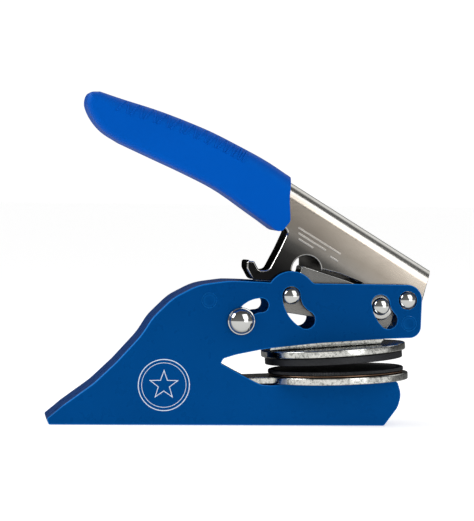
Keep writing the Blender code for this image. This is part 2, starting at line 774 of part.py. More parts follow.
def make_lock(pieces, chrome, steel):
    """A pin with a knob on each end, which swings along the cheeks' curved slots."""
    tip = CHEEK_OUT + 1.6
    shaft = [
        (0.0, tip),
        (LOCK_SHAFT, tip),
        (LOCK_SHAFT, CHEEK_OUT + 0.1),
        (LOCK_COLLAR, CHEEK_OUT + 0.1),
        (LOCK_COLLAR, CHEEK_IN - 0.2),
        (LOCK_SHAFT, CHEEK_IN - 0.2),
    ]
    across(turned_piece("lock_shaft", mirrored_profile(shaft), steel, pieces, 32), LOCK_PIN)
    base = CHEEK_OUT + 0.1 + GAP
    bore = LOCK_SHAFT + GAP
    for name, near in (("near_lock_button", True), ("far_lock_button", False)):
        half = dome_profile(KNOB_RADIUS, base + 0.9, KNOB_DOME, 6)
        half += [(KNOB_FLANGE, base + 0.9), (KNOB_FLANGE, base), (bore, base)]
        half += [(bore, tip + GAP), (0.0, tip + GAP)]
        button = across(turned_piece(name, half, chrome, pieces), LOCK_PIN)
        if near:
            button.rotation_euler = (math.radians(90), 0.0, 0.0)


def make_return_spring(pieces, steel):
    """A torsion spring round the pivot pin, its legs under the handle's roof and on the front spacer."""
    start = 80.0
    end = start + 360 * COIL_TURNS + 125
    steps = COIL_TURNS * 12 + 6
    points = []
    for i in range(steps + 1):
        angle = start + (end - start) * i / steps
        spot = on_circle(PIVOT, COIL_RADIUS, angle)
        side = COIL_PITCH * ((angle - start) / 360 - COIL_TURNS / 2)
        points.append((spot[0], side, spot[1]))
    roof_end = on_circle(PIVOT, 12.6, 68.0)
    first = points[0]
    points.insert(0, (roof_end[0], first[1], roof_end[1]))
    last = points[-1]
    points.append((last[0] + 1.0, last[1], last[2] - 9.0))
    curve = bpy.data.curves.new("return_spring", "CURVE")
    curve.dimensions = "3D"
    curve.bevel_depth = WIRE_RADIUS * MM
    curve.bevel_resolution = 1
    curve.use_fill_caps = True
    spline = curve.splines.new("POLY")
    spline.points.add(len(points) - 1)
    for control, point in zip(spline.points, points):
        control.co = (point[0] * MM, point[1] * MM, point[2] * MM, 1.0)
    made = bpy.data.objects.new("return_spring", curve)
    pieces.objects.link(made)
    curve.materials.append(steel)
    return made


# ---------------------------------------------------------------- assembly


def pivot_empty(name, spot, collection, children):
    """An empty on a joint's axis that carries the pieces which move about it."""
    empty = bpy.data.objects.new(name, None)
    collection.objects.link(empty)
    empty.location = (spot[0] * MM, 0.0, spot[1] * MM)
    bpy.context.view_layer.update()
    for child in children:
        made = bpy.data.objects[child]
        made.parent = empty
        made.matrix_parent_inverse = empty.matrix_world.inverted()


def main():
    clear_scene()
    pieces = new_collection("seal_embossing_press")
    tools = new_collection("cutters")
    paint = material("blue_gloss_paint", BLUE, 0.0, 0.2)
    rubber = material("blue_grip", GRIP_BLUE, 0.0, 0.4)
    chrome = material("polished_chrome", CHROME, 1.0, 0.1)
    steel = material("plated_steel", STEEL, 1.0, 0.3)
    black = material("black_die", BLACK, 0.0, 0.5)
    copper = material("copper_shim", COPPER, 1.0, 0.35)
    pad = material("black_pad", BLACK, 0.0, 0.7)
    make_body(pieces, tools, paint, pad, chrome)
    make_lower_die(pieces, tools, chrome, black, copper, steel)
    make_upper_die(pieces, tools, chrome, black, steel)
    make_press_arm(pieces, tools, steel, chrome)
    make_handle(pieces, tools, steel, rubber, chrome)
    make_lock(pieces, chrome, steel)
    make_return_spring(pieces, steel)
    pivot_empty(
        "handle_axis",
        PIVOT,
        pieces,
        ["handle_lever", "grip_sleeve", "press_pin", "near_press_roller", "far_press_roller"],
    )
    pivot_empty(
        "press_axis",
        POLE,
        pieces,
        ["press_arm", "guide_pin", "press_shoe", "upper_die_plate", "upper_die"]
        + ["rear_shoe_screw", "front_shoe_screw"],
    )
    pivot_empty("lock_axis", LOCK_CENTRE, pieces, ["lock_shaft", "near_lock_button", "far_lock_button"])


main()
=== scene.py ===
import json
import math

import bmesh
import bpy
from mathutils import Matrix, Vector
from mathutils.geometry import tessellate_polygon


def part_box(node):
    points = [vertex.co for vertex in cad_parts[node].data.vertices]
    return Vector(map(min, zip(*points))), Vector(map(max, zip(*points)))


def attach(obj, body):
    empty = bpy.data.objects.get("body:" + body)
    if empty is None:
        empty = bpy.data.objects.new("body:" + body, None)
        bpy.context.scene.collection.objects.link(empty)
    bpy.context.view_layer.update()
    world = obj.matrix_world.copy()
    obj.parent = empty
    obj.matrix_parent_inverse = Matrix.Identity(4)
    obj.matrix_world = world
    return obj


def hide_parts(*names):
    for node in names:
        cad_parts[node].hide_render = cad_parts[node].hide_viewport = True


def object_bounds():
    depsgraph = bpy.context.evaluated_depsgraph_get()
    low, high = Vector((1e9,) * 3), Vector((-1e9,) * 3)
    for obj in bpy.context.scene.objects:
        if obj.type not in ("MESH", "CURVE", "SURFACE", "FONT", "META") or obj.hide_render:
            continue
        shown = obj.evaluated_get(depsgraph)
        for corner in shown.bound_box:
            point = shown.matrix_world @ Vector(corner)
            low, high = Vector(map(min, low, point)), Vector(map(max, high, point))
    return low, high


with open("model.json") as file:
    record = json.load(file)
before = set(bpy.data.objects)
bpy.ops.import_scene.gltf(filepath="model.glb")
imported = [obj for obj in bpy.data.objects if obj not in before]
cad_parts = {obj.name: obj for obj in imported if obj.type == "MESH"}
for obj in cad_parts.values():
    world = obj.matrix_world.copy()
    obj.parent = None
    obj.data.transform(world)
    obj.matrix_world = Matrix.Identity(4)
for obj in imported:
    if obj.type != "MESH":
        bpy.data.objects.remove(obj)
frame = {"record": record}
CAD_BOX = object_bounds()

# Looks of the hand-held seal embossing press. Numbers are millimetres and degrees in the row frame.
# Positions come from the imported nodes, joints and mounts; the driving sizes repeat those of the CAD.

MM = 0.001
ARC_STEP = 5.0  # degrees between the points of an arc
EDGE_STEPS = 5  # rings across a rounded edge
DISC_STEPS = 120  # sides of a round plate
CUT_PAST = 2.0  # how far a cutter goes past the faces
SAME_SPOT = 0.01  # points closer than this are one
NEARLY_STRAIGHT = 89.3  # half of the angle at a corner that needs no arc
GAP = 0.3  # between neighbouring pieces
BODY_SHEET = 2.0
SHEET = 1.6  # of the handle and the arm
SEAT_SHEET = 3.4  # the body's web under the lower plate


# ---------------------------------------------------------------- where the frame puts things


def middle(node):
    low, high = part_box(node)
    return Vector(((low[0] + high[0]) / 2 / MM, (low[2] + high[2]) / 2 / MM))


def named(rows, name):
    return next(row for row in rows if row["name"] == name)


def side_spot(row):
    return Vector((row["pos_m"][0] / MM, row["pos_m"][2] / MM))


def half_width(node):
    low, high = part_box(node)
    return (high[1] - low[1]) / 2 / MM


PIVOT = middle("handle_pivot_pin")
PRESS_PIN = middle("press_pin")
GUIDE_PIN = middle("guide_pin")
REAR_SPACER = middle("rear_spacer_pin")
FRONT_SPACER = middle("front_spacer_pin")
LOCK_PIN = middle("lock_shaft")
JOINTS = frame["record"]["behaviour"]["joints"]
LOCK_CENTRE = side_spot(named(JOINTS, "lock_swing"))
POLE = side_spot(named(JOINTS, "press_arm_close"))
CHEEK_OUT = half_width("body_shell")
CHEEK_IN = CHEEK_OUT - BODY_SHEET
HANDLE_OUT = half_width("handle_lever")
ARM_OUT = half_width("press_arm")
GRIP_OUT = half_width("grip_sleeve")
PIN_RADIUS, PIN_DOME = 3.25, 1.7
NECK_RADIUS, GUIDE_SHANK = 1.25, 2.1
SPACER_RADIUS = 2.7
WASHER_OUT, WASHER_IN = 11.7, 10.9
WASHER_RADIUS = 4.9
HANDLE_BEND = 6.0
WEB_STEP = 0.1  # how far the far cheek's web lies inside the faces of that cheek
GRIP_ROUNDING = 5.6

FACE_MOUNT = named(frame["record"]["mounts"], "lower_die_face")
LOWER_FACE = side_spot(FACE_MOUNT)
SEAT_TILT = math.degrees(math.atan2(-FACE_MOUNT["axis"][0], FACE_MOUNT["axis"][2]))
CLOSING = 1.85  # degrees that the arm turns to bring the dies together
UPPER_TILT = SEAT_TILT + CLOSING
PLATE_RADIUS = 29.0
PLATE_THICK = 2.8
LOWER_DIE_RADIUS, LOWER_DIE_THICK = 27.2, 1.2
UPPER_DIE_RADIUS, UPPER_DIE_THICK = 27.6, 2.75
SHIM_THICK = 0.3
SHOE_THICK = 2.0
SCREW_SPREAD, SCREW_RADIUS = 9.0, 1.4
SCREW_DEPTH = PLATE_THICK - 0.9  # how far a screw goes into its plate

LOWER_SHIM_TOP = -LOWER_DIE_THICK - GAP
LOWER_PLATE_TOP = LOWER_SHIM_TOP - SHIM_THICK - GAP
LOWER_PLATE_BOTTOM = LOWER_PLATE_TOP - PLATE_THICK
UPPER_PLATE_BOTTOM = UPPER_DIE_THICK + GAP
UPPER_PLATE_TOP = UPPER_PLATE_BOTTOM + PLATE_THICK
SHOE_BOTTOM = UPPER_PLATE_TOP + GAP
ARM_FOOT = SHOE_BOTTOM + SHOE_THICK + GAP


# ---------------------------------------------------------------- lines in the side plane


def on_circle(centre, radius, degrees):
    turn = math.radians(degrees)
    return Vector((centre[0] + radius * math.cos(turn), centre[1] + radius * math.sin(turn)))


def arc(centre, radius, start, end, step=ARC_STEP):
    count = max(2, math.ceil(abs(end - start) / step))
    return [on_circle(centre, radius, start + (end - start) * i / count) for i in range(count + 1)]


def quarter(steps):
    """The angles of a quarter turn, in radians."""
    return [math.pi / 2 * k / steps for k in range(steps + 1)]


def rounded(corners, closed=True):
    """Points of an outline from (x, z) points and (x, z, radius) corners, each corner turned into an arc."""
    points = []
    last = len(corners) - 1
    for i, corner in enumerate(corners):
        here = Vector(corner[:2])
        radius = corner[2] if len(corner) > 2 else 0.0
        if radius == 0.0 or (not closed and i in (0, last)):
            points.append(here)
            continue
        before = (Vector(corners[i - 1][:2]) - here).normalized()
        after = (Vector(corners[(i + 1) % len(corners)][:2]) - here).normalized()
        half = before.angle(after) / 2
        if half > math.radians(NEARLY_STRAIGHT):
            points.append(here)
            continue
        centre = here + (before + after).normalized() * radius / math.sin(half)
        first = here + before * radius / math.tan(half) - centre
        sign = 1 if before.cross(after) > 0 else -1
        start = math.degrees(math.atan2(first.y, first.x))
        points += arc(centre, radius, start, start + sign * math.degrees(before.angle(after) - math.pi))
    return points


def offset_path(path, distance):
    moved = []
    for i, point in enumerate(path):
        ahead = (path[min(i + 1, len(path) - 1)] - path[max(i - 1, 0)]).normalized()
        moved.append(point + Vector((-ahead.y, ahead.x)) * distance)
    return moved


def smooth_path(points, per_span=6):
    """A Catmull-Rom curve through the points of an open path."""
    path = [Vector(p) for p in points]
    ends = [path[0] * 2 - path[1]] + path + [path[-1] * 2 - path[-2]]
    made = []
    for i in range(1, len(ends) - 2):
        a, b, c, d = ends[i - 1], ends[i], ends[i + 1], ends[i + 2]
        for k in range(per_span):
            t = k / per_span
            start = 2 * b + (c - a) * t
            made.append(0.5 * (start + (2 * a - 5 * b + 4 * c - d) * t * t + (3 * b - a - 3 * c + d) * t**3))
    return made + [path[-1]]


def arc_slot(centre, radius, start, end, half):
    outer = arc(centre, radius + half, start, end)
    inner = arc(centre, radius - half, end, start)
    far_end = arc(on_circle(centre, radius, end), half, end, end + 180, 10)[1:-1]
    near_end = arc(on_circle(centre, radius, start), half, start + 180, start + 360, 10)[1:-1]
    return outer + far_end + inner + near_end


def tilted(face, tilt, along, height):
    """The point at a distance along and above a face that is tilted by some degrees."""
    turn = math.radians(tilt)
    x = face[0] + along * math.cos(turn) - height * math.sin(turn)
    z = face[1] + along * math.sin(turn) + height * math.cos(turn)
    return Vector((x, z))


UPPER_FACE = tilted(POLE, CLOSING, *(LOWER_FACE + Vector((0.0, GAP)) - POLE))


def distance_to(point, path):
    best = 1e9
    for a, b in zip(path, path[1:]):
        run = b - a
        part = max(0.0, min(1.0, (point - a).dot(run) / max(run.length_squared, 1e-9)))
        best = min(best, (point - a - run * part).length)
    return best


# ---------------------------------------------------------------- mesh building


def side_plane(u, v, w):
    return (u, w, v)


def face_plane(face, tilt):
    """Local (along, across, height) of a tilted die face to the row frame."""

    def place(u, v, w):
        spot = tilted(face, tilt, u, w)
        return (spot[0], v, spot[1])

    return place


def across(centre):
    """Local (x, y, height) of a turned piece that lies across the press."""

    def place(u, v, w):
        return (centre[0] + u, w, centre[1] + v)

    return place


def add(name, data):
    made = bpy.data.objects.new(name, data)
    bpy.context.scene.collection.objects.link(made)
    return made


def new_object(name, verts, faces):
    mesh = bpy.data.meshes.new(name)
    mesh.from_pydata([tuple(c * MM for c in v) for v in verts], [], faces)
    body = bmesh.new()
    body.from_mesh(mesh)
    bmesh.ops.remove_doubles(body, verts=body.verts, dist=1e-7)
    bmesh.ops.dissolve_degenerate(body, dist=1e-8, edges=body.edges)
    bmesh.ops.recalc_face_normals(body, faces=body.faces)
    body.to_mesh(mesh)
    body.free()
    return add(name, mesh)


def tidy_loop(loop, outer):
    points = []
    for point in loop:
        if not points or (Vector(point) - points[-1]).length > SAME_SPOT:
            points.append(Vector(point))
    if (points[0] - points[-1]).length < SAME_SPOT:
        points.pop()
    area = sum(a.cross(b) for a, b in zip(points, points[1:] + points[:1]))
    if (area > 0) != outer:
        points.reverse()
    return points


def inset(loop, amounts):
    """The loop with each edge moved to its left by its own amount."""
    count = len(loop)
    moved = []
    for i, point in enumerate(loop):
        back = (point - loop[i - 1]).normalized()
        ahead = (loop[(i + 1) % count] - point).normalized()
        left_back, left_ahead = Vector((-back.y, back.x)), Vector((-ahead.y, ahead.x))
        a, b = amounts[i - 1], amounts[i]
        turn = back.cross(ahead)
        if abs(turn) > 0.35 and abs(a - b) > 1e-6:
            start, other = point + left_back * a, point + left_ahead * b
            moved.append(start + back * ((other - start).cross(ahead) / turn))
        else:
            reach = (a + b) / 2 / max(0.2, 1 + left_back.dot(left_ahead))
            moved.append(point + (left_back + left_ahead) * reach)
    return moved


def side_faces(start, count, rings):
    """Quads between rings of vertices that follow each other."""
    faces = []
    for r in range(rings - 1):
        row, following = start + r * count, start + (r + 1) * count
        for i in range(count):
            j = (i + 1) % count
            faces.append((row + i, row + j, following + j, following + i))
    return faces


def cap_faces(verts, rings):
    """Triangles that close one end, within rings of vertex numbers."""
    loops = [[Vector((verts[i][0], verts[i][1], 0.0)) for i in ring] for ring in rings]
    numbers = [i for ring in rings for i in ring]
    return [tuple(numbers[i] for i in triangle) for triangle in tessellate_polygon(loops)]


def plate(name, loops, low, high, rims, place=side_plane, steps=EDGE_STEPS):
    """A flat piece between two levels.

    A rim rounds the edges of its loop: a radius, or a rule that gives the radius at a place."""
    verts, faces = [], []
    low_rings, high_rings = [], []
    turns = quarter(steps)
    for number, loop in enumerate(loops):
        points = tidy_loop(loop, number == 0)
        count = len(points)
        rim = rims[number] if isinstance(rims, (list, tuple)) else rims
        middles = [(points[i] + points[(i + 1) % count]) / 2 for i in range(count)]
        amounts = [rim(spot) if callable(rim) else rim for spot in middles]
        depths = [max(abs(amounts[i - 1]), abs(amounts[i])) for i in range(count)]
        start = len(verts)
        for level, side, order in ((low, 1, turns), (high, -1, turns[::-1])):
            for turn in order:
                line = inset(points, [a * (1 - math.sin(turn)) for a in amounts])
                lift = side * (1 - math.cos(turn))
                verts += [(p.x, p.y, level + d * lift) for p, d in zip(line, depths)]
        faces += side_faces(start, count, 2 * len(turns))
        low_rings.append(range(start, start + count))
        high_rings.append(range(len(verts) - count, len(verts)))
    faces += cap_faces(verts, low_rings) + cap_faces(verts, high_rings)
    return new_object(name, [place(*v) for v in verts], faces)


def slot_cutter(name, loop, half, lip, steps=3):
    """A cutter through both cheeks that leaves a rounded lip on each outer face."""
    points = tidy_loop(loop, True)
    count = len(points)
    levels = [(-half - CUT_PAST, lip)]
    for turn in quarter(steps)[::-1]:
        levels.append((-half + lip * (1 - math.sin(turn)), lip * (1 - math.cos(turn))))
    levels += [(-y, out) for y, out in reversed(levels)]
    verts = [(p.x, p.y, y) for y, out in levels for p in inset(points, [-out] * count)]
    faces = side_faces(0, count, len(levels))
    for base in (0, len(verts) - count):
        faces += cap_faces(verts, [range(base, base + count)])
    return new_object(name, [side_plane(*v) for v in verts], faces)


def lathe(name, profile, place, steps=72, knurl=0.0):
    """A turned solid from (radius, height) points; knurl is the depth of fine grooves round it."""
    verts, faces, rows = [], [], []
    for radius, height in profile:
        if radius < 1e-6:
            rows.append([len(verts)] * steps)
            verts.append((0.0, 0.0, height))
            continue
        rows.append(list(range(len(verts), len(verts) + steps)))
        for i in range(steps):
            turn = 2 * math.pi * i / steps
            reach = radius - knurl * (i % 2)
            verts.append((reach * math.cos(turn), reach * math.sin(turn), height))
    for above, below in zip(rows, rows[1:]):
        for i in range(steps):
            j = (i + 1) % steps
            corners = tuple(dict.fromkeys((above[i], above[j], below[j], below[i])))
            if len(corners) > 2:
                faces.append(corners)
    return new_object(name, [place(*v) for v in verts], faces)


def sweep(name, paths, radius, sides=10):
    """Round bars of one radius along open 3-D paths, with flat ends."""
    verts, faces = [], []
    for path in paths:
        path = [Vector(p) for p in path]
        normal = None
        start = len(verts)
        for i, point in enumerate(path):
            ahead = (path[min(i + 1, len(path) - 1)] - path[max(i - 1, 0)]).normalized()
            if normal is None:
                normal = ahead.orthogonal().normalized()
            normal = (normal - ahead * normal.dot(ahead)).normalized()
            side = ahead.cross(normal)
            for k in range(sides):
                turn = 2 * math.pi * k / sides
                verts.append(tuple(point + (normal * math.cos(turn) + side * math.sin(turn)) * radius))
        faces += side_faces(start, sides, len(path))
        faces += [tuple(range(end, end + sides)) for end in (start, len(verts) - sides)]
    return new_object(name, verts, faces)


def carve(made, *tools, operation="DIFFERENCE"):
    for tool in tools:
        step = made.modifiers.new(tool.name, "BOOLEAN")
        step.operation = operation
        step.object = tool
        step.solver = "EXACT"
    bake(made)
    for tool in tools:
        bpy.data.objects.remove(tool, do_unlink=True)
    return made


def bake(made):
    """Replaces the mesh with what the modifiers make of it."""
    bpy.context.view_layer.update()
    graph = bpy.context.evaluated_depsgraph_get()
    mesh = bpy.data.meshes.new_from_object(made.evaluated_get(graph))
    made.modifiers.clear()
    made.data = mesh


def soften(made, width, degrees=50, segments=2):
    """Rounds the edges that are sharper than an angle."""
    bevel = made.modifiers.new("Edges", "BEVEL")
    bevel.limit_method = "ANGLE"
    bevel.angle_limit = math.radians(degrees)
    bevel.width = width * MM
    bevel.segments = segments
    bevel.use_clamp_overlap = True
    bake(made)
    return made


def done(made, finish, body, slot, *nodes, sharp=32):
    """Shades, paints and hangs a finished piece on its body."""
    for polygon in made.data.polygons:
        polygon.use_smooth = True
    made.data.set_sharp_from_angle(angle=math.radians(sharp))
    made.data.materials.clear()
    made.data.materials.append(finish)
    normals = made.modifiers.new("Normals", "WEIGHTED_NORMAL")
    normals.keep_sharp = True
    normals.weight = 80
    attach(made, body)
    if nodes:
        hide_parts(*nodes)
    return made


def across_piece(name, profile, spot, finish, body, slot, node, steps=72):
    """A turned piece that lies across the press."""
    done(lathe(name, profile, across(spot), steps), finish, body, slot, node)


# ---------------------------------------------------------------- materials


def fill(node, values):
    """Sets the sockets of a node, by name or by number."""
    for key, value in values.items():
        node.inputs[key].default_value = value


class Nodes:
    """A node tree, with short ways to add nodes and to join them."""

    def __init__(self, tree):
        self.tree = tree

    def node(self, kind, values=None, **settings):
        made = self.tree.nodes.new(kind)
        for key, value in settings.items():
            setattr(made, key, value)
        fill(made, values or {})
        return made

    def link(self, source, target):
        self.tree.links.new(source, target)

    def ramp(self, source, *stops):
        made = self.node("ShaderNodeValToRGB")
        elements = made.color_ramp.elements
        while len(elements) < len(stops):
            elements.new(0.5)
        for element, (position, colour) in zip(elements, stops):
            element.position = position
            element.color = (*colour, 1.0)
        self.link(source, made.inputs["Fac"])
        return made.outputs["Color"]

    def spread(self, source, low, high, start=0.3, end=0.7):
        values = {"From Min": start, "From Max": end, "To Min": low, "To Max": high}
        made = self.node("ShaderNodeMapRange", values)
        self.link(source, made.inputs["Value"])
        return made.outputs["Result"]


class Shader(Nodes):
    """A Principled material, with patterns in millimetres of the piece."""

    def __init__(self, name, values):
        self.made = bpy.data.materials.new(name)
        self.made.use_nodes = True
        super().__init__(self.made.node_tree)
        self.shader = self.tree.nodes["Principled BSDF"]
        fill(self.shader, values)
        coordinates = self.node("ShaderNodeTexCoord")
        self.place = coordinates.outputs["Object"]
        self.normal = coordinates.outputs["Normal"]

    def noise(self, per_mm, detail=4.0, rough=0.55, stretch=(1.0, 1.0, 1.0), turn=(0.0, 0.0, 0.0)):
        scale = [s / MM for s in stretch]
        turn = [math.radians(t) for t in turn]
        spot = self.node("ShaderNodeMapping", {"Scale": scale, "Rotation": turn})
        self.link(self.place, spot.inputs["Vector"])
        made = self.node("ShaderNodeTexNoise", {"Scale": per_mm, "Detail": detail, "Roughness": rough})
        self.link(spot.outputs["Vector"], made.inputs["Vector"])
        return made.outputs["Fac"]

    def colour(self, source):
        self.link(source, self.shader.inputs["Base Color"])

    def roughness(self, source):
        self.link(source, self.shader.inputs["Roughness"])

    def bump(self, source, height, strength=1.0, below=None):
        made = self.node("ShaderNodeBump", {"Distance": height * MM, "Strength": strength})
        self.link(source, made.inputs["Height"])
        if below:
            self.link(below, made.inputs["Normal"])
        self.link(made.outputs["Normal"], self.shader.inputs["Normal"])
        return made.outputs["Normal"]

    def mix(self, fraction, first, second, blend="MIX"):
        made = self.node("ShaderNodeMix", data_type="RGBA", blend_type=blend)
        for socket, value in ((made.inputs[0], fraction), (made.inputs[6], first), (made.inputs[7], second)):
            if isinstance(value, (int, float)):
                socket.default_value = value
            elif isinstance(value, tuple):
                socket.default_value = (*value, 1.0)
            else:
                self.link(value, socket)
        return made.outputs[2]

    def along(self, direction, start, end):
        """0 to 1 along a direction of the side plane, between two distances in millimetres."""
        along = (direction[0] / MM, 0.0, direction[1] / MM)
        spot = self.node("ShaderNodeVectorMath", {1: along}, operation="DOT_PRODUCT")
        self.link(self.place, spot.inputs[0])
        return self.spread(spot.outputs["Value"], 0.0, 1.0, start, end)

    def sideways(self, start, end):
        """0 to 1 by how squarely the surface faces one side of the press, whichever way it is seen."""
        parts = self.node("ShaderNodeSeparateXYZ")
        self.link(self.normal, parts.inputs["Vector"])
        size = self.node("ShaderNodeMath", operation="ABSOLUTE")
        self.link(parts.outputs["Y"], size.inputs[0])
        return self.spread(size.outputs[0], 0.0, 1.0, start, end)


def paint_material():
    values = {"Roughness": 0.3, "Specular IOR Level": 0.45, "Specular Tint": (0.01, 0.30, 0.85, 1.0)}
    made = Shader("blue_gloss_enamel", values)
    patches = made.noise(0.018, 3)
    deep = made.ramp(patches, (0.35, (0.0004, 0.0455, 0.187)), (0.65, (0.0005, 0.0525, 0.213)))
    # Painted shade: the blue is multiplied darker towards the top of the body, down to four fifths at the
    # top.
    painted_shade_fraction = made.along((0.25, 0.97), 20.0, 62.0)
    shade = made.mix(painted_shade_fraction, (1.0, 1.0, 1.0), (0.80, 0.80, 0.83))
    with_painted_shade = made.mix(1.0, deep, shade, "MULTIPLY")
    # Painted highlight: where a surface turns away from the sides, as on the rounded edges, the blue is
    # painted lighter.
    thin = made.mix(made.sideways(0.90, 0.99), (0.006, 0.135, 0.44), with_painted_shade)
    # Painted shade: surfaces that face neither side, such as the spine, are painted a dark navy.
    made.colour(made.mix(made.sideways(0.22, 0.45), (0.0004, 0.040, 0.19), thin))
    made.roughness(made.spread(made.noise(0.25, 5), 0.24, 0.36))
    peel = made.bump(made.noise(0.9, 2), 0.012, 0.5)
    made.bump(made.noise(5.0, 3), 0.003, 0.35, peel)
    return made.made


def grip_material():
    values = {"Roughness": 0.42, "Specular IOR Level": 0.4, "Specular Tint": (0.01, 0.35, 0.95, 1.0)}
    made = Shader("blue_moulded_grip", values)
    patches = made.noise(0.02, 3)
    made.colour(made.ramp(patches, (0.3, (0.0003, 0.066, 0.380)), (0.7, (0.0004, 0.077, 0.425))))
    made.roughness(made.spread(made.noise(0.4, 5), 0.36, 0.5))
    flow = made.bump(made.noise(0.12, 2, stretch=(0.35, 1.0, 0.8)), 0.05, 0.35)
    made.bump(made.noise(7.0, 3), 0.006, 0.5, flow)
    return made.made


def metal_material(name, low, high, roughness, streak=(1.0, 1.0, 1.0), bump=0.002, edge=None):
    made = Shader(name, {"Metallic": 1.0, "Roughness": roughness})
    tone = made.ramp(made.noise(0.05, 4), (0.3, low), (0.7, high))
    # Painted highlight: an edge colour is painted where a surface turns away from the sides, as on rounded
    # edges.
    if edge:
        tone = made.mix(made.sideways(0.85, 0.985), edge, tone)
    made.colour(tone)
    lines = made.noise(1.6, 5, 0.6, streak)
    made.roughness(made.spread(lines, roughness * 0.75, roughness * 1.3))
    made.bump(lines, bump, 0.6)
    return made.made


def lever_material():
    made = Shader("polished_nickel_plate", {"Metallic": 1.0, "Roughness": 0.2, "Anisotropic": 0.25})
    # Painted reflection and shade: the plate runs from nearly black at its lower edge by the hook to bright
    # at its top edge.
    body = made.ramp(
        made.along((0.514, 0.857), 60.0, 92.0),
        (0.0, (0.022, 0.022, 0.023)),
        (0.25, (0.065, 0.064, 0.062)),
        (0.38, (0.18, 0.175, 0.165)),
        (0.48, (0.47, 0.44, 0.40)),
        (0.62, (0.51, 0.455, 0.39)),
        (0.78, (0.72, 0.64, 0.55)),
        (1.0, (0.98, 0.88, 0.77)),
    )
    # Painted shade: the plate is darker towards the rear of the handle.
    front = made.ramp(made.along((1.0, 0.0), 22.0, 68.0), (0.0, (0.58, 0.58, 0.58)), (1.0, (1.0, 1.0, 1.0)))
    body = made.mix(1.0, body, front, "MULTIPLY")
    # Painted highlight: where a surface turns away from the sides, as on the rounded edges, the plate is
    # painted a pale grey.
    body = made.mix(made.sideways(0.85, 0.985), (0.86, 0.85, 0.82), body)
    patches = made.ramp(made.noise(0.08, 4), (0.35, (0.93, 0.92, 0.91)), (0.65, (1.0, 1.0, 1.0)))
    made.colour(made.mix(1.0, body, patches, "MULTIPLY"))
    lines = made.noise(2.2, 5, 0.6, (0.04, 1.0, 1.0), (0.0, -31.5, 0.0))
    made.roughness(made.spread(lines, 0.16, 0.27))
    waves = made.bump(made.noise(0.10, 1), 0.06, 0.25)
    made.bump(lines, 0.0016, 0.6, waves)
    return made.made


def die_material():
    made = Shader("black_resin_die", {"Roughness": 0.5})
    grains = made.noise(2.4, 6, 0.7)
    made.colour(made.ramp(grains, (0.42, (0.003, 0.004, 0.006)), (0.72, (0.016, 0.018, 0.024))))
    made.roughness(made.spread(grains, 0.62, 0.22, 0.4, 0.68))
    made.bump(grains, 0.10, 0.8)
    return made.made


def turned_material(name, tilt, face):
    """Bright plate with the rings that turning leaves, about the die's axis."""
    roughness = 0.12
    made = Shader(name, {"Metallic": 1.0, "Roughness": roughness})
    cloud = made.ramp(made.noise(0.12, 5), (0.35, (0.62, 0.63, 0.60)), (0.65, (0.86, 0.86, 0.82)))
    flecks = made.ramp(made.noise(0.9, 6, 0.7), (0.36, (0.22, 0.23, 0.23)), (0.52, (1.0, 1.0, 1.0)))
    made.colour(made.mix(0.85, cloud, flecks, "MULTIPLY"))
    values = {"Location": (face[0] * MM, 0.0, face[1] * MM), "Rotation": (0.0, -math.radians(tilt), 0.0)}
    spot = made.node("ShaderNodeMapping", values, vector_type="TEXTURE")
    made.link(made.place, spot.inputs["Vector"])
    values = {"Scale": 700.0, "Distortion": 0.6}
    rings = made.node("ShaderNodeTexWave", values, wave_type="RINGS", rings_direction="Z")
    made.link(spot.outputs["Vector"], rings.inputs["Vector"])
    spots = made.noise(1.3, 5, 0.65)
    made.roughness(made.spread(spots, roughness * 0.6, roughness * 1.8))
    pits = made.bump(spots, 0.02, 0.45)
    made.bump(rings.outputs["Fac"], 0.002, 0.5, pits)
    return made.made


def rubber_material():
    made = Shader("black_rubber_pad", {"Roughness": 0.75})
    grains = made.noise(1.2, 5)
    made.colour(made.ramp(grains, (0.3, (0.012, 0.012, 0.014)), (0.7, (0.026, 0.026, 0.028))))
    made.roughness(made.spread(grains, 0.66, 0.84))
    made.bump(made.noise(3.0, 4), 0.03, 0.7)
    return made.made


def ink_material():
    made = Shader("pale_print", {"Roughness": 0.45})
    made.colour(made.ramp(made.noise(1.5, 3), (0.3, (0.50, 0.58, 0.72)), (0.7, (0.66, 0.72, 0.82))))
    made.bump(made.noise(6.0, 3), 0.003, 0.5)
    return made.made


PAINT = paint_material()
GRIP = grip_material()
LEVER = lever_material()
CHROME = metal_material("mirror_chrome", (0.62, 0.63, 0.62), (0.68, 0.68, 0.66), 0.05, bump=0.0004)
# The arm's edge colour is a painted highlight on its rounded edges.
ARM_STEEL = metal_material(
    "plated_sheet", (0.18, 0.18, 0.175), (0.29, 0.282, 0.268), 0.24, (0.06, 1.0, 1.0), edge=(0.84, 0.85, 0.83)
)
TURNED_STEEL = metal_material("turned_steel", (0.55, 0.55, 0.54), (0.68, 0.68, 0.66), 0.16, (1.0, 0.1, 1.0))
ZINC = metal_material("zinc_plate", (0.48, 0.49, 0.50), (0.60, 0.60, 0.58), 0.28)
WIRE = metal_material("drawn_wire", (0.34, 0.34, 0.35), (0.46, 0.46, 0.45), 0.3, (1.0, 0.2, 1.0))
COPPER = metal_material("dull_copper", (0.34, 0.20, 0.13), (0.44, 0.27, 0.18), 0.34)
DIE = die_material()
LOWER_CHROME = turned_material("lower_plate", SEAT_TILT, LOWER_FACE)
UPPER_CHROME = turned_material("upper_plate", UPPER_TILT, UPPER_FACE)
RUBBER = rubber_material()
INK = ink_material()


# ---------------------------------------------------------------- body


def jaw_top(x, *radius):
    """A corner on top of the seat web, under the lower plate."""
    spot = tilted(LOWER_FACE, SEAT_TILT, x - LOWER_FACE[0], LOWER_PLATE_BOTTOM - GAP)
    return (spot[0], spot[1], *radius)


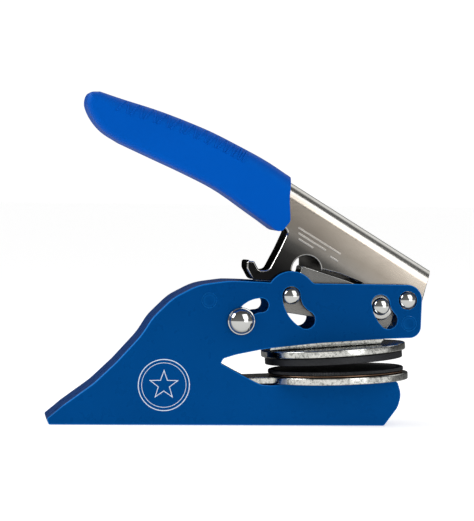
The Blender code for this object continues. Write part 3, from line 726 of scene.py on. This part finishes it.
def body_outline():
    nose = [(-75.9, 0.0, 0.6), (-76.6, 2.4, 0.8), (-73.2, 5.2, 2.0), (-70.2, 7.8, 2.0)]
    spine = [(-58.6, 16.3, 24.0), (-49.8, 24.6, 40.0), (-39.8, 35.6, 30.0), (-35.6, 42.4, 20.0)]
    crown = [(-27.4, 50.4, 20.0), (-17.4, 55.6, 22.0), (-6.0, 57.2, 20.0), (0.0, 57.1), (9.6, 56.7, 4.0)]
    hump = arc(GUIDE_PIN, 9.9, 148, 38)
    front = [(28.6, 56.4, 2.0), (72.2, 56.2, 6.0), (71.6, 35.2, 4.6)]
    jaw = [(57.0, 34.6), (32.2, 32.9, 60.0), (9.7, 30.4, 60.0), (-2.0, 28.0, 12.0), (-7.2, 26.4, 1.8)]
    throat = [(-8.2, 24.4, 0.6), (-0.2, 20.1, 30.0), (8.0, 16.0, 8.0)]
    seat = [jaw_top(11.8), jaw_top(62.4, 1.6), (64.2, 12.4, 8.0), (62.9, 7.4, 8.0), (57.4, 0.0, 0.8)]
    return rounded(nose + spine + crown + hump + front + jaw + throat + seat)


def cavity_outline():
    left, right, beyond = jaw_top(9.0), jaw_top(59.4), jaw_top(95.0)
    nose = [(-68.4, -3.0), (-68.4, 5.8, 1.2)]
    spine = [(-57.0, 14.4, 21.0), (-48.0, 22.9, 37.0), (-37.8, 34.2, 27.0), (-33.7, 40.9, 17.0)]
    crown = [(-26.0, 48.3, 17.0), (-16.6, 53.2, 19.0), (-6.0, 54.7, 17.0), (-0.4, 54.6)]
    above_seat = [(-0.4, 80.0), (95.0, 80.0), (beyond[0], beyond[1] - 0.5), (left[0], left[1] - 0.5)]
    below_seat = [(left[0], left[1] - SEAT_SHEET), (right[0], right[1] - SEAT_SHEET, 2.0)]
    front = [(61.6, 11.0, 6.0), (60.4, 7.6, 6.0), (53.6, -3.0)]
    return rounded(nose + spine + crown + above_seat + below_seat + front)


def body_rim(spot):
    """Radius of the cheeks' outer edge: fuller where the sheet bends into the spine."""
    on_spine = spot.x < -1.0 and spot.y > 5.0 and not (spot.x > -9.0 and spot.y < 32.0)
    if not on_spine:
        return 0.45
    return 0.45 + 0.35 * min(1.0, (spot.y - 5.0) / 8.0) * min(1.0, (-1.0 - spot.x) / 6.0)


def hole(spot, radius):
    return arc(spot, radius, 0, 360, 6)[:-1]


def make_body():
    shell = plate("body_sheet", [body_outline()], -CHEEK_OUT, CHEEK_OUT, body_rim)
    hollow = plate("hollow", [cavity_outline()], -CHEEK_IN, CHEEK_IN, 0.0, steps=1)
    slot_half = PIN_RADIUS + 0.35
    openings = (
        (arc_slot(LOCK_CENTRE, 8.4, 90, 166, 2.8), 0.4),
        (arc_slot((31.0, 52.0), 11.4, 182, 242, slot_half), 0.4),
        (arc_slot(PIVOT, 11.0, 187, 226, slot_half), 0.4),
        (hole(PIVOT, PIN_RADIUS + 0.45), 0.25),
        (hole(REAR_SPACER, SPACER_RADIUS + GAP), 0.12),
        (hole(FRONT_SPACER, SPACER_RADIUS + GAP), 0.12),
    )
    cutters = [slot_cutter(f"slot_{i}", loop, CHEEK_OUT, lip) for i, (loop, lip) in enumerate(openings)]
    carve(shell, hollow, *cutters)
    done(shell, PAINT, "root", "body_paint", "body_shell", sharp=30)
    make_rivets()
    make_cushion()


def make_rivets():
    """The two spacer pins, with heads that are flush with the cheeks."""
    head = SPACER_RADIUS + 0.26
    crown = [(0.0, 0.20), (head * 0.62, 0.20), (head * 0.74, 0.08), (head * 0.86, 0.03)]
    crown += [(head - 0.12, 0.06), (head, 0.18)]
    for name, node, spot, shoulder_radius in (
        ("rear_rivet", "rear_spacer_pin", REAR_SPACER, 4.2),
        ("front_rivet", "front_spacer_pin", FRONT_SPACER, head),
    ):
        half = [(radius, CHEEK_OUT - depth) for radius, depth in crown]
        half += [(head, WASHER_OUT), (shoulder_radius, WASHER_OUT)]
        across_piece(name, mirrored(half), spot, PAINT, "root", "body_paint", node)


def make_cushion():
    low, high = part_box("base_pad")
    rear, front, top = low[0] / MM, high[0] / MM, high[2] / MM
    outline = [(rear, 0.0), (front - 1.5, 0.0), (front, top), (rear, top)]
    half = half_width("base_pad")
    done(plate("base_cushion", [outline], -half, half, 0.4), RUBBER, "root", "base_rubber", "base_pad")


def dome(radius, base, height, count=14):
    return [(radius * math.sin(turn), base + height * math.cos(turn)) for turn in quarter(count)]


def mirrored(half):
    return half + [(radius, -height) for radius, height in reversed(half)]


def make_pins():
    whole = mirrored(dome(PIN_RADIUS, CHEEK_OUT - 0.4, PIN_DOME))
    across_piece("pivot_pin", whole, PIVOT, CHROME, "root", "pin_chrome", "handle_pivot_pin")
    across_piece("squeeze_pin", whole, PRESS_PIN, CHROME, "handle", "pin_chrome", "press_pin")
    head = CHEEK_OUT + 0.15
    guide = dome(PIN_RADIUS, head + 0.3, PIN_DOME)
    guide += [(PIN_RADIUS, head + 0.08), (PIN_RADIUS - 0.08, head), (GUIDE_SHANK, head)]
    guide += [(GUIDE_SHANK, CHEEK_IN - GAP), (PIN_RADIUS, CHEEK_IN - GAP)]
    guide += [(PIN_RADIUS, WASHER_IN), (NECK_RADIUS, WASHER_IN)]
    across_piece("sliding_pin", mirrored(guide), GUIDE_PIN, CHROME, "press_arm", "pin_chrome", "guide_pin")
    for name, side in (("near_press_roller", -1), ("far_press_roller", 1)):
        low, high = sorted((side * WASHER_IN, side * WASHER_OUT))
        bore, out, edge = PIN_RADIUS + GAP, WASHER_RADIUS, 0.18
        ring = [(bore, high), (out - edge, high), (out - edge * 0.3, high - edge * 0.3), (out, high - edge)]
        ring += [(out, low + edge), (out - edge * 0.3, low + edge * 0.3), (out - edge, low), (bore, low)]
        ring.append(ring[0])
        across_piece(name + "_ring", ring, PRESS_PIN, TURNED_STEEL, "handle", "roller_steel", name)


def make_lock():
    shaft, shaft_end, collar = 1.5, 15.6, 2.4
    half = [(0.0, shaft_end), (shaft, shaft_end), (shaft, CHEEK_OUT + 0.1), (collar - 0.15, CHEEK_OUT + 0.1)]
    half += [(collar, CHEEK_OUT - 0.05), (collar, CHEEK_IN - 0.05), (collar - 0.15, CHEEK_IN - 0.2)]
    half.append((shaft, CHEEK_IN - 0.2))
    across_piece("lock_axle", mirrored(half), LOCK_PIN, TURNED_STEEL, "lock", "roller_steel", "lock_shaft")
    base = CHEEK_OUT + GAP + 0.1
    button = dome(5.0, base + 0.9, 3.4, 20)
    button += [(5.1, base + 0.84), (5.3, base + 0.78), (5.44, base + 0.6), (5.5, base + 0.35), (5.42, base)]
    button += [(shaft + GAP, base), (shaft + GAP, shaft_end + GAP), (0.0, shaft_end + GAP)]
    for name, node, side in (("near_knob", "near_lock_button", -1), ("far_knob", "far_lock_button", 1)):
        profile = [(r, side * h) for r, h in button]
        across_piece(name, profile, LOCK_PIN, CHROME, "lock", "pin_chrome", node, 96)


# ---------------------------------------------------------------- dies


def disc(radius, top, bottom, edge):
    """A round plate's profile, with softly rounded rims."""
    turns = quarter(4)
    upper = [(radius - edge + edge * math.sin(t), top - edge + edge * math.cos(t)) for t in turns]
    lower = [(radius - edge + edge * math.cos(t), bottom + edge - edge * math.sin(t)) for t in turns]
    return [(0.0, top), (radius * 0.5, top)] + upper + lower + [(radius * 0.5, bottom), (0.0, bottom)]


def tongued_disc():
    """The lower plate's outline from above: a disc with a tongue to the rear."""
    half = 11.4
    meet = 180 - math.degrees(math.asin(half / PLATE_RADIUS))
    rim = arc((0.0, 0.0), PLATE_RADIUS, -meet, meet, 3.5)
    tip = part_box("lower_die_plate")[0][0] / MM - LOWER_FACE[0]
    tongue = rounded([rim[-1], (tip, half, 1.2), (tip, -half, 1.2), rim[0]], closed=False)
    return rim + tongue[1:-1]


def rim_teeth(name, place, radius, count):
    """The fine radial teeth of a seal's border, as one ring of small ridges with their feet in the face."""
    verts, faces = [], []
    inner, outer = radius - 2.6, radius - 0.35
    height, foot, width = 0.22, -0.05, 0.62
    for i in range(count):
        start, end = 2 * math.pi * i / count, 2 * math.pi * (i + width) / count
        crest = (start + end) / 2
        base = len(verts)
        for turn, lift in ((start, foot), (crest, height), (end, foot)):
            for r in (inner, outer):
                verts.append(place(r * math.cos(turn), r * math.sin(turn), lift))
        a, b, c, d, e, f = range(base, base + 6)
        faces += [(a, b, d, c), (c, d, f, e), (a, c, e), (b, f, d), (a, e, f, b)]
    return new_object(name, verts, faces)


def make_screws(base, face, tilt, shank_end, seat, side, body):
    """A rear and a front screw along a tilted axis; the head stands on seat, on the side +1 up or -1 down."""
    head = ((2.5, 0.0), (2.6, 0.12), (2.5, 0.9), (2.1, 1.3), (1.2, 1.4), (1.1, 0.6), (0.0, 0.6))
    profile = [(0.0, shank_end), (SCREW_RADIUS, shank_end), (SCREW_RADIUS, seat)]
    profile += [(radius, seat + side * height) for radius, height in head]
    for name, along in ((f"rear_{base}_screw", -SCREW_SPREAD), (f"front_{base}_screw", SCREW_SPREAD)):
        spot = tilted(face, tilt, along, 0.0)
        made = lathe(name + "_turned", profile, face_plane(spot, tilt), 48)
        done(made, ZINC, body, "screw_steel", name)


def make_lower_die():
    place = face_plane(LOWER_FACE, SEAT_TILT)
    seat = plate("lower_holder", [tongued_disc()], LOWER_PLATE_BOTTOM, LOWER_PLATE_TOP, 0.45, place)
    done(seat, LOWER_CHROME, "root", "plate_chrome", "lower_die_plate")
    shim = disc(LOWER_DIE_RADIUS - 0.3, LOWER_SHIM_TOP, LOWER_SHIM_TOP - SHIM_THICK, 0.08)
    done(lathe("copper_washer", shim, place, DISC_STEPS), COPPER, "root", "shim_copper", "lower_die_shim")
    die = disc(LOWER_DIE_RADIUS, 0.0, -LOWER_DIE_THICK, 0.25)
    die = [(0.0, 0.0), (LOWER_DIE_RADIUS - 3.0, 0.0)] + die[2:]
    done(lathe("lower_counter", die, place, 300, knurl=0.28), DIE, "root", "die_black", "lower_die")
    teeth = rim_teeth("lower_border", place, LOWER_DIE_RADIUS, 150)
    done(teeth, DIE, "root", "die_black", sharp=20)
    seat = LOWER_PLATE_BOTTOM - GAP - SEAT_SHEET - GAP
    make_screws("seat", LOWER_FACE, SEAT_TILT, LOWER_PLATE_BOTTOM + SCREW_DEPTH, seat, -1, "root")


def make_upper_die():
    place = face_plane(UPPER_FACE, UPPER_TILT)
    holder = disc(PLATE_RADIUS, UPPER_PLATE_TOP, UPPER_PLATE_BOTTOM, 0.5)
    made = lathe("upper_holder", holder, place, DISC_STEPS)
    done(made, UPPER_CHROME, "press_arm", "plate_chrome", "upper_die_plate")
    die = disc(UPPER_DIE_RADIUS, UPPER_DIE_THICK, 0.0, 0.3)
    die = die[:-2] + [(24.6, 0.0), (24.4, 0.25), (0.0, 0.25)]
    done(lathe("upper_seal", die, place, DISC_STEPS), DIE, "press_arm", "die_black", "upper_die")
    top = SHOE_BOTTOM + SHOE_THICK
    corners = ((-27.0, SHOE_BOTTOM), (17.8, SHOE_BOTTOM), (19.8, top), (-26.0, top))
    outline = [tilted(UPPER_FACE, UPPER_TILT, along, height) for along, height in corners]
    made = plate("pressing_shoe", [outline], -11.2, 11.2, 0.3)
    done(made, UPPER_CHROME, "press_arm", "plate_chrome", "press_shoe")
    seat = ARM_FOOT + SHEET + GAP
    make_screws("shoe", UPPER_FACE, UPPER_TILT, UPPER_PLATE_TOP - SCREW_DEPTH, seat, 1, "press_arm")


def make_arm():
    def foot(along, height):
        return tilted(UPPER_FACE, UPPER_TILT, along, height)

    bend = foot(-2.0, ARM_FOOT + SHEET)
    front = [foot(-26.0, ARM_FOOT), foot(18.0, ARM_FOOT), (61.4, 42.0, 5.0), (61.4, 51.6, 4.0)]
    back = [(52.6, 53.4, 6.0), (43.5, 57.2, 20.0), (24.4, 63.2, 0.8)]
    rear = [(23.6, 59.6, 3.0), (14.6, 56.2, 4.5), (15.0, 45.0, 2.0), (33.6, 42.2, 4.0)]
    rear += [(bend[0], bend[1] + 0.2, 3.0), foot(-26.0, ARM_FOOT + SHEET)]
    outline = rounded(front + back + rear)
    loops = [outline, hole(PRESS_PIN, PIN_RADIUS + 0.5), hole(GUIDE_PIN, NECK_RADIUS + GAP)]
    arm = plate("press_channel", loops, -ARM_OUT, ARM_OUT, [0.4, 0.25, 0.2])
    roof = [Vector((49.6, 54.6)), Vector((43.5, 57.2)), Vector((24.4, 63.2)), Vector((10.0, 67.7))]
    inner_roof = offset_path(roof, SHEET)
    floor_a, floor_b = foot(-40.0, ARM_FOOT + SHEET), foot(50.0, ARM_FOOT + SHEET)
    inside = [floor_a, floor_b, (floor_b[0], 80.0), (inner_roof[0][0], 80.0)]
    inside += inner_roof + [(floor_a[0], inner_roof[-1][1])]
    tool = plate("arm_inside", [inside], -(ARM_OUT - SHEET), ARM_OUT - SHEET, 0.0, steps=1)
    carve(arm, tool)
    done(arm, ARM_STEEL, "press_arm", "arm_steel", "press_arm", sharp=30)


# ---------------------------------------------------------------- handle


def handle_top():
    front = [(76.4, 61.6), (48.0, 79.0), (19.4, 96.5), (8.6, 102.4), (-3.6, 108.2)]
    rear = [(-15.6, 113.5), (-33.0, 119.9), (-48.6, 124.8), (-54.4, 126.0)]
    return [Vector(point) for point in front + rear]


def handle_under():
    rear = [(-56.6, 121.0), (-49.4, 115.4), (-37.2, 110.0), (-21.8, 102.8)]
    return rear + [(-9.2, 96.2), (3.2, 88.0), (12.6, 81.2)]


def handle_outline():
    front = [(73.0, 50.6), (71.0, 43.8, 2.5)]
    heel = arc(PIVOT, 6.0, 296, 232)
    boss = arc(PRESS_PIN, 5.6, 300, 150)
    edge = [(48.4, 56.4, 3.0), (40.0, 60.0, 20.0), (32.6, 61.8, 0.8)]
    notch = arc((25.9, 61.6), 5.8, 0, 180)
    hook = [(20.0, 61.2), (17.4, 57.0, 1.6), (4.6, 57.2, 2.4), (2.0, 62.0, 3.0), (2.2, 65.1, 0.9)]
    hook += [(5.0, 64.9, 0.7), (6.9, 61.3, 1.7), (10.8, 61.3, 2.4), (12.4, 64.4, 4.0), (15.1, 69.6)]
    rear = [(18.4, 76.8, 1.6), (15.4, 80.0, 3.0)] + handle_under()[::-1]
    return rounded(handle_top()[::-1] + front + heel + boss + edge + notch + hook + rear)


def web_outline():
    """Extra depth of the far cheek behind the notch."""
    upper = [(25.4, 60.6, 0.6), (25.4, 68.6), (36.0, 66.5), (50.5, 58.5)]
    lower = [(51.5, 52.6), (47.2, 54.6, 3.0), (40.0, 57.8, 20.0), (31.5, 60.2, 20.0)]
    return rounded(upper + lower)


def near_line(path, value, otherwise):
    """A rule for a rim: one radius on a line and another away from it."""

    def rim(spot):
        return value if distance_to(spot, path) < 0.2 else otherwise

    return rim


def make_lever():
    top = handle_top()
    rule = near_line(top, HANDLE_BEND, 0.72)
    lever = plate("squeeze_lever", [handle_outline()], -HANDLE_OUT, HANDLE_OUT, rule, steps=10)
    inner = offset_path(top, SHEET)
    inner[0] += Vector((9.0, -5.5))
    inside = inner + [(-40.0, 60.0), (-5.0, 20.0), (95.0, 20.0)]
    wide = HANDLE_OUT - SHEET
    hollow = plate("lever_inside", [inside], -wide, wide, near_line(inner, HANDLE_BEND - SHEET, 0.0), steps=8)
    holes = [
        slot_cutter(name, hole(spot, PIN_RADIUS + GAP), HANDLE_OUT, 0.3)
        for name, spot in (("pivot_hole", PIVOT), ("press_hole", PRESS_PIN))
    ]
    web = plate("far_web", [web_outline()], wide + WEB_STEP, HANDLE_OUT - WEB_STEP, 0.2, steps=2)
    carve(lever, hollow)
    carve(lever, web, operation="UNION")
    carve(lever, *holes)
    done(lever, LEVER, "handle", "lever_nickel", "handle_lever", sharp=30)


def downward(ahead):
    """The direction square to a line of the side plane that points down."""
    down = Vector((ahead.y, -ahead.x))
    return -down if down.y > 0 else down


def make_lever_marks():
    """Plain raised bars on both cheeks of the handle."""
    direction = (handle_top()[0] - handle_top()[1]).normalized()
    down = downward(direction)
    start = Vector((22.4, 78.6))
    paths = []
    for shift, length, drop in ((0.0, 20.0, 0.0), (1.2, 13.0, 1.9), (2.4, 7.0, 3.8), (17.0, 3.6, 3.0)):
        a = start + direction * shift + down * drop
        b = a + direction * length
        for side in (-1, 1):
            paths.append([(p[0], side * (HANDLE_OUT - 0.2), p[1]) for p in (a, a.lerp(b, 0.5), b)])
    done(sweep("lever_bars", paths, 0.45, 12), LEVER, "handle", "lever_nickel")


def grip_outline():
    top = [(-57.0, 131.2), (-48.8, 128.6), (-32.4, 123.6), (-15.2, 117.1), (-3.0, 111.3), (9.2, 104.9)]
    front = [(19.2, 98.5), (18.4, 90.0, 20.0), (18.9, 81.0, 3.0), (15.2, 76.4, 2.4), (12.6, 77.6)]
    under = [front[-1], (3.4, 84.0), (-9.2, 92.6), (-21.6, 98.9), (-36.0, 105.4), (-48.6, 111.1)]
    rear = [under[-1], (-55.4, 115.4), (-59.9, 120.6), (-62.2, 126.2), (-61.0, 130.6), top[0]]
    front_edge, rear_edge = rounded(front, closed=False), smooth_path(rear)
    return smooth_path(top + front[:1]) + front_edge[1:-1] + smooth_path(under) + rear_edge[1:-1]


def grip_height(x, upper):
    """Rough height of the grip's top or underside above the floor."""
    top = ((-62.0, 129.0), (-32.4, 123.6), (-3.0, 111.3), (19.2, 98.5))
    under = ((-62.0, 124.0), (-48.6, 111.1), (-9.2, 92.6), (15.2, 76.4))
    line = top if upper else under
    for (x0, z0), (x1, z1) in zip(line, line[1:]):
        if x <= x1:
            return z0 + (z1 - z0) * (x - x0) / (x1 - x0)
    return line[-1][1]


def grip_rim(spot):
    """Radius of the grip's edges: sharp at its front end, smaller at its rear and below."""
    top_end = [Vector((19.2, 98.5)), Vector((9.2, 104.9))]
    if spot.x > 14.6 and spot.y < 97.5 and distance_to(spot, top_end) > 0.3:
        return 0.0
    upper = spot.y > 0.5 * (grip_height(spot.x, True) + grip_height(spot.x, False))
    if not upper:
        return 2.8 * min(1.0, max(0.0, (15.0 - spot.x) / 8.0))
    rear = 3.2
    return rear + (GRIP_ROUNDING - rear) * min(1.0, max(0.0, (spot.x + 62.0) / 16.0))


def make_grip():
    grip = plate("grip_cover", [grip_outline()], -GRIP_OUT, GRIP_OUT, grip_rim, steps=10)
    top = offset_path(handle_top()[1:], -GAP)
    under = [(x - 0.1, z - 0.35) for x, z in handle_under()]
    bore = top + [(-55.8, 126.2), (-57.6, 121.0)] + under + [(15.5, 79.2), (40.0, 62.0)]
    wide = HANDLE_OUT + GAP
    tool = plate("grip_bore", [bore], -wide, wide, near_line(top, HANDLE_BEND - 0.4, 0.0), steps=8)
    carve(grip, tool)
    soften(grip, 0.5, 60, 3)
    done(grip, GRIP, "handle", "grip_plastic", "grip_sleeve", sharp=35)


def shoulder(path, spot, turn):
    """A point on the grip's rounded shoulder: spot along the top path, turn up from the side."""
    run = spot * (len(path) - 1)
    index = int(run)
    here = path[index].lerp(path[index + 1], run - index)
    down = downward((path[index + 1] - path[index]).normalized())
    angle = math.radians(turn)
    out = GRIP_OUT - GRIP_ROUNDING + GRIP_ROUNDING * math.cos(angle)
    return here + down * (GRIP_ROUNDING - GRIP_ROUNDING * math.sin(angle)), out


def make_grip_ridges():
    """A plain row of slanted ridges on both shoulders of the grip, for the thumb."""
    path = smooth_path([(-50.0, 128.95), (-32.4, 123.6), (-15.2, 117.1), (-3.0, 111.3), (4.0, 107.7)], 10)
    paths = []
    count = 24
    for i in range(count):
        base = 0.03 + 0.92 * i / count
        lean = 0.035 if i % 2 == 0 else -0.005
        for side in (-1, 1):
            line = []
            for k in range(7):
                spot, out = shoulder(path, base + lean * (k / 6 - 0.5), 4 + 62 * k / 6)
                line.append((spot[0], side * out, spot[1]))
            paths.append(line)
    done(sweep("thumb_ridges", paths, 0.42, 8), GRIP, "handle", "grip_plastic")


def make_emblem():
    """Two thin printed circles with a plain five-point star, on the near cheek."""
    centre = Vector((-30.7, 15.8))
    level = -CHEEK_OUT - 0.03

    def star(point, dent):
        return [on_circle(centre, dent if i % 2 else point, 90 + 36 * i) for i in range(10)]

    for name, outer, inner in (
        ("outer_circle", hole(centre, 10.3), hole(centre, 10.3 - 0.36)),
        ("inner_circle", hole(centre, 8.9), hole(centre, 8.9 - 0.22)),
        ("star_line", star(6.2, 2.5), star(5.3, 2.14)),
    ):
        made = plate(name, [outer, inner], level, level + 0.06, 0.0, steps=1)
        done(made, INK, "root", "body_paint")


def make_spring():
    turns, pitch, radius = 3, 1.9, 4.9
    start = 80.0
    end = start + 360 * turns + 125
    steps = turns * 40 + 14
    points = []
    for i in range(steps + 1):
        angle = start + (end - start) * i / steps
        spot = on_circle(PIVOT, radius, angle)
        points.append((spot[0], -pitch * turns / 2 + pitch * (angle - start) / 360, spot[1]))
    roof_end = on_circle(PIVOT, 12.6, 68.0)
    points.insert(0, (roof_end[0], points[0][1], roof_end[1]))
    last = points[-1]
    points.append((last[0] + 1.0, last[1], last[2] - 9.0))
    done(sweep("coil", [points], 0.68, 14), WIRE, "root", "spring_steel", "return_spring")


# ---------------------------------------------------------------- studio


def make_floor():
    reach, level = 9000.0, -0.15
    corners = [(x * reach, y * reach, level) for x, y in ((-1, -1), (1, -1), (1, 1), (-1, 1))]
    floor = new_object("floor", corners, [(0, 1, 2, 3)])
    made = bpy.data.materials.new("pale_floor")
    made.use_nodes = True
    values = {"Base Color": (0.86, 0.86, 0.86, 1.0), "Roughness": 0.9, "Specular IOR Level": 0.1}
    values |= {"Emission Color": (1.0, 1.0, 1.0, 1.0), "Emission Strength": 0.54}
    fill(made.node_tree.nodes["Principled BSDF"], values)
    floor.data.materials.append(made)
    floor.visible_glossy = False


# What reflections meet, by the direction round the press's long axis: 0 and 1 are behind, 0.25 is
# below, 0.5 in front and 0.75 above. Each stop has its brightness.
ROOM = (
    (0.0, 0.08), (0.03, 0.26), (0.12, 0.32), (0.25, 0.45), (0.32, 0.85), (0.497, 0.92), (0.503, 0.20),
    (0.65, 0.12), (0.70, 0.08), (0.78, 0.12), (0.815, 0.85), (0.89, 0.75), (0.95, 0.03),
)


def make_world():
    """White to the camera, even for diffuse light, and the room for reflections."""
    world = bpy.data.worlds.new("studio")
    bpy.context.scene.world = world
    world.use_nodes = True
    world.node_tree.nodes.clear()
    sky = Nodes(world.node_tree)
    place = sky.node("ShaderNodeTexCoord")
    split = sky.node("ShaderNodeSeparateXYZ")
    sky.link(place.outputs["Generated"], split.inputs["Vector"])
    front = sky.node("ShaderNodeMath", {1: -1.0}, operation="MULTIPLY")
    sky.link(split.outputs["Y"], front.inputs[0])
    angle = sky.node("ShaderNodeMath", operation="ARCTAN2")
    sky.link(split.outputs["Z"], angle.inputs[0])
    sky.link(front.outputs[0], angle.inputs[1])
    part = sky.spread(angle.outputs[0], 0.0, 1.0, -math.pi, math.pi)
    stops = [(position, (level, level * 0.995, level * 0.98)) for position, level in ROOM]
    room = sky.node("ShaderNodeBackground", {"Strength": 1.0})
    sky.link(sky.ramp(part, *stops), room.inputs["Color"])
    soft = sky.node("ShaderNodeBackground", {"Strength": 0.66})
    seen = sky.node("ShaderNodeBackground", {"Color": (1.0, 1.0, 1.0, 1.0), "Strength": 1.05})
    rays = sky.node("ShaderNodeLightPath")
    below = room
    for ray, light in (("Is Diffuse Ray", soft), ("Is Camera Ray", seen)):
        mix = sky.node("ShaderNodeMixShader")
        sky.link(rays.outputs[ray], mix.inputs["Fac"])
        sky.link(below.outputs[0], mix.inputs[1])
        sky.link(light.outputs[0], mix.inputs[2])
        below = mix
    output = sky.node("ShaderNodeOutputWorld")
    sky.link(below.outputs[0], output.inputs["Surface"])


def make_studio():
    make_floor()
    make_world()
    soft_light("key_softbox", (350.0, -590.0, 470.0), 500.0, 1.35)
    soft_light("left_softbox", (-690.0, -100.0, 560.0), 420.0, 3.2)
    soft_light("front_card", (430.0, -720.0, 170.0), 400.0, 0.75)
    soft_light("rim_softbox", (-520.0, 420.0, 620.0), 300.0, 0.4)
    bpy.context.scene.view_settings.view_transform = "Standard"


def soft_light(name, spot, size, power):
    light = bpy.data.lights.new(name, "AREA")
    light.shape = "SQUARE"
    light.size = size * MM
    light.energy = power
    made = add(name, light)
    made.location = [c * MM for c in spot]
    aim = Vector((0.0, 0.0, 60.0)) - Vector(spot)
    made.rotation_euler = aim.to_track_quat("-Z", "Y").to_euler()
    made.visible_camera = False


def make_camera():
    azimuth, elevation, roll = math.radians(-6.2), math.radians(1.7), math.radians(0.75)
    distance, lens, sensor = 1120.0, 193.474, 36.0
    aside, above = -0.2, 2.16  # of the aim point, from the middle of the view
    centre = (CAD_BOX[0] + CAD_BOX[1]) / 2 / MM
    aim = Vector((centre[0] - 1.0, 0.0, centre[2] + 1.15))
    level = math.cos(elevation)
    ahead = Vector((-math.sin(azimuth) * level, math.cos(azimuth) * level, -math.sin(elevation)))
    right = Vector((math.cos(azimuth), math.sin(azimuth), 0.0))
    up = right.cross(ahead)
    tipped_right = right * math.cos(roll) + up * math.sin(roll)
    tipped_up = up * math.cos(roll) - right * math.sin(roll)
    eye = aim - ahead * distance - tipped_right * aside - tipped_up * above
    data = bpy.data.cameras.new("camera")
    data.sensor_width = sensor
    data.lens = lens
    data.clip_start = 0.05
    data.clip_end = 100.0
    made = add("camera", data)
    turn = Matrix((tipped_right, tipped_up, -ahead)).transposed()
    made.matrix_world = Matrix.Translation(eye * MM) @ turn.to_4x4()
    bpy.context.scene.camera = made


make_camera()
make_studio()
make_body()
make_pins()
make_lock()
make_lower_die()
make_upper_die()
make_arm()
make_lever()
make_lever_marks()
make_grip()
make_grip_ridges()
make_emblem()
make_spring()
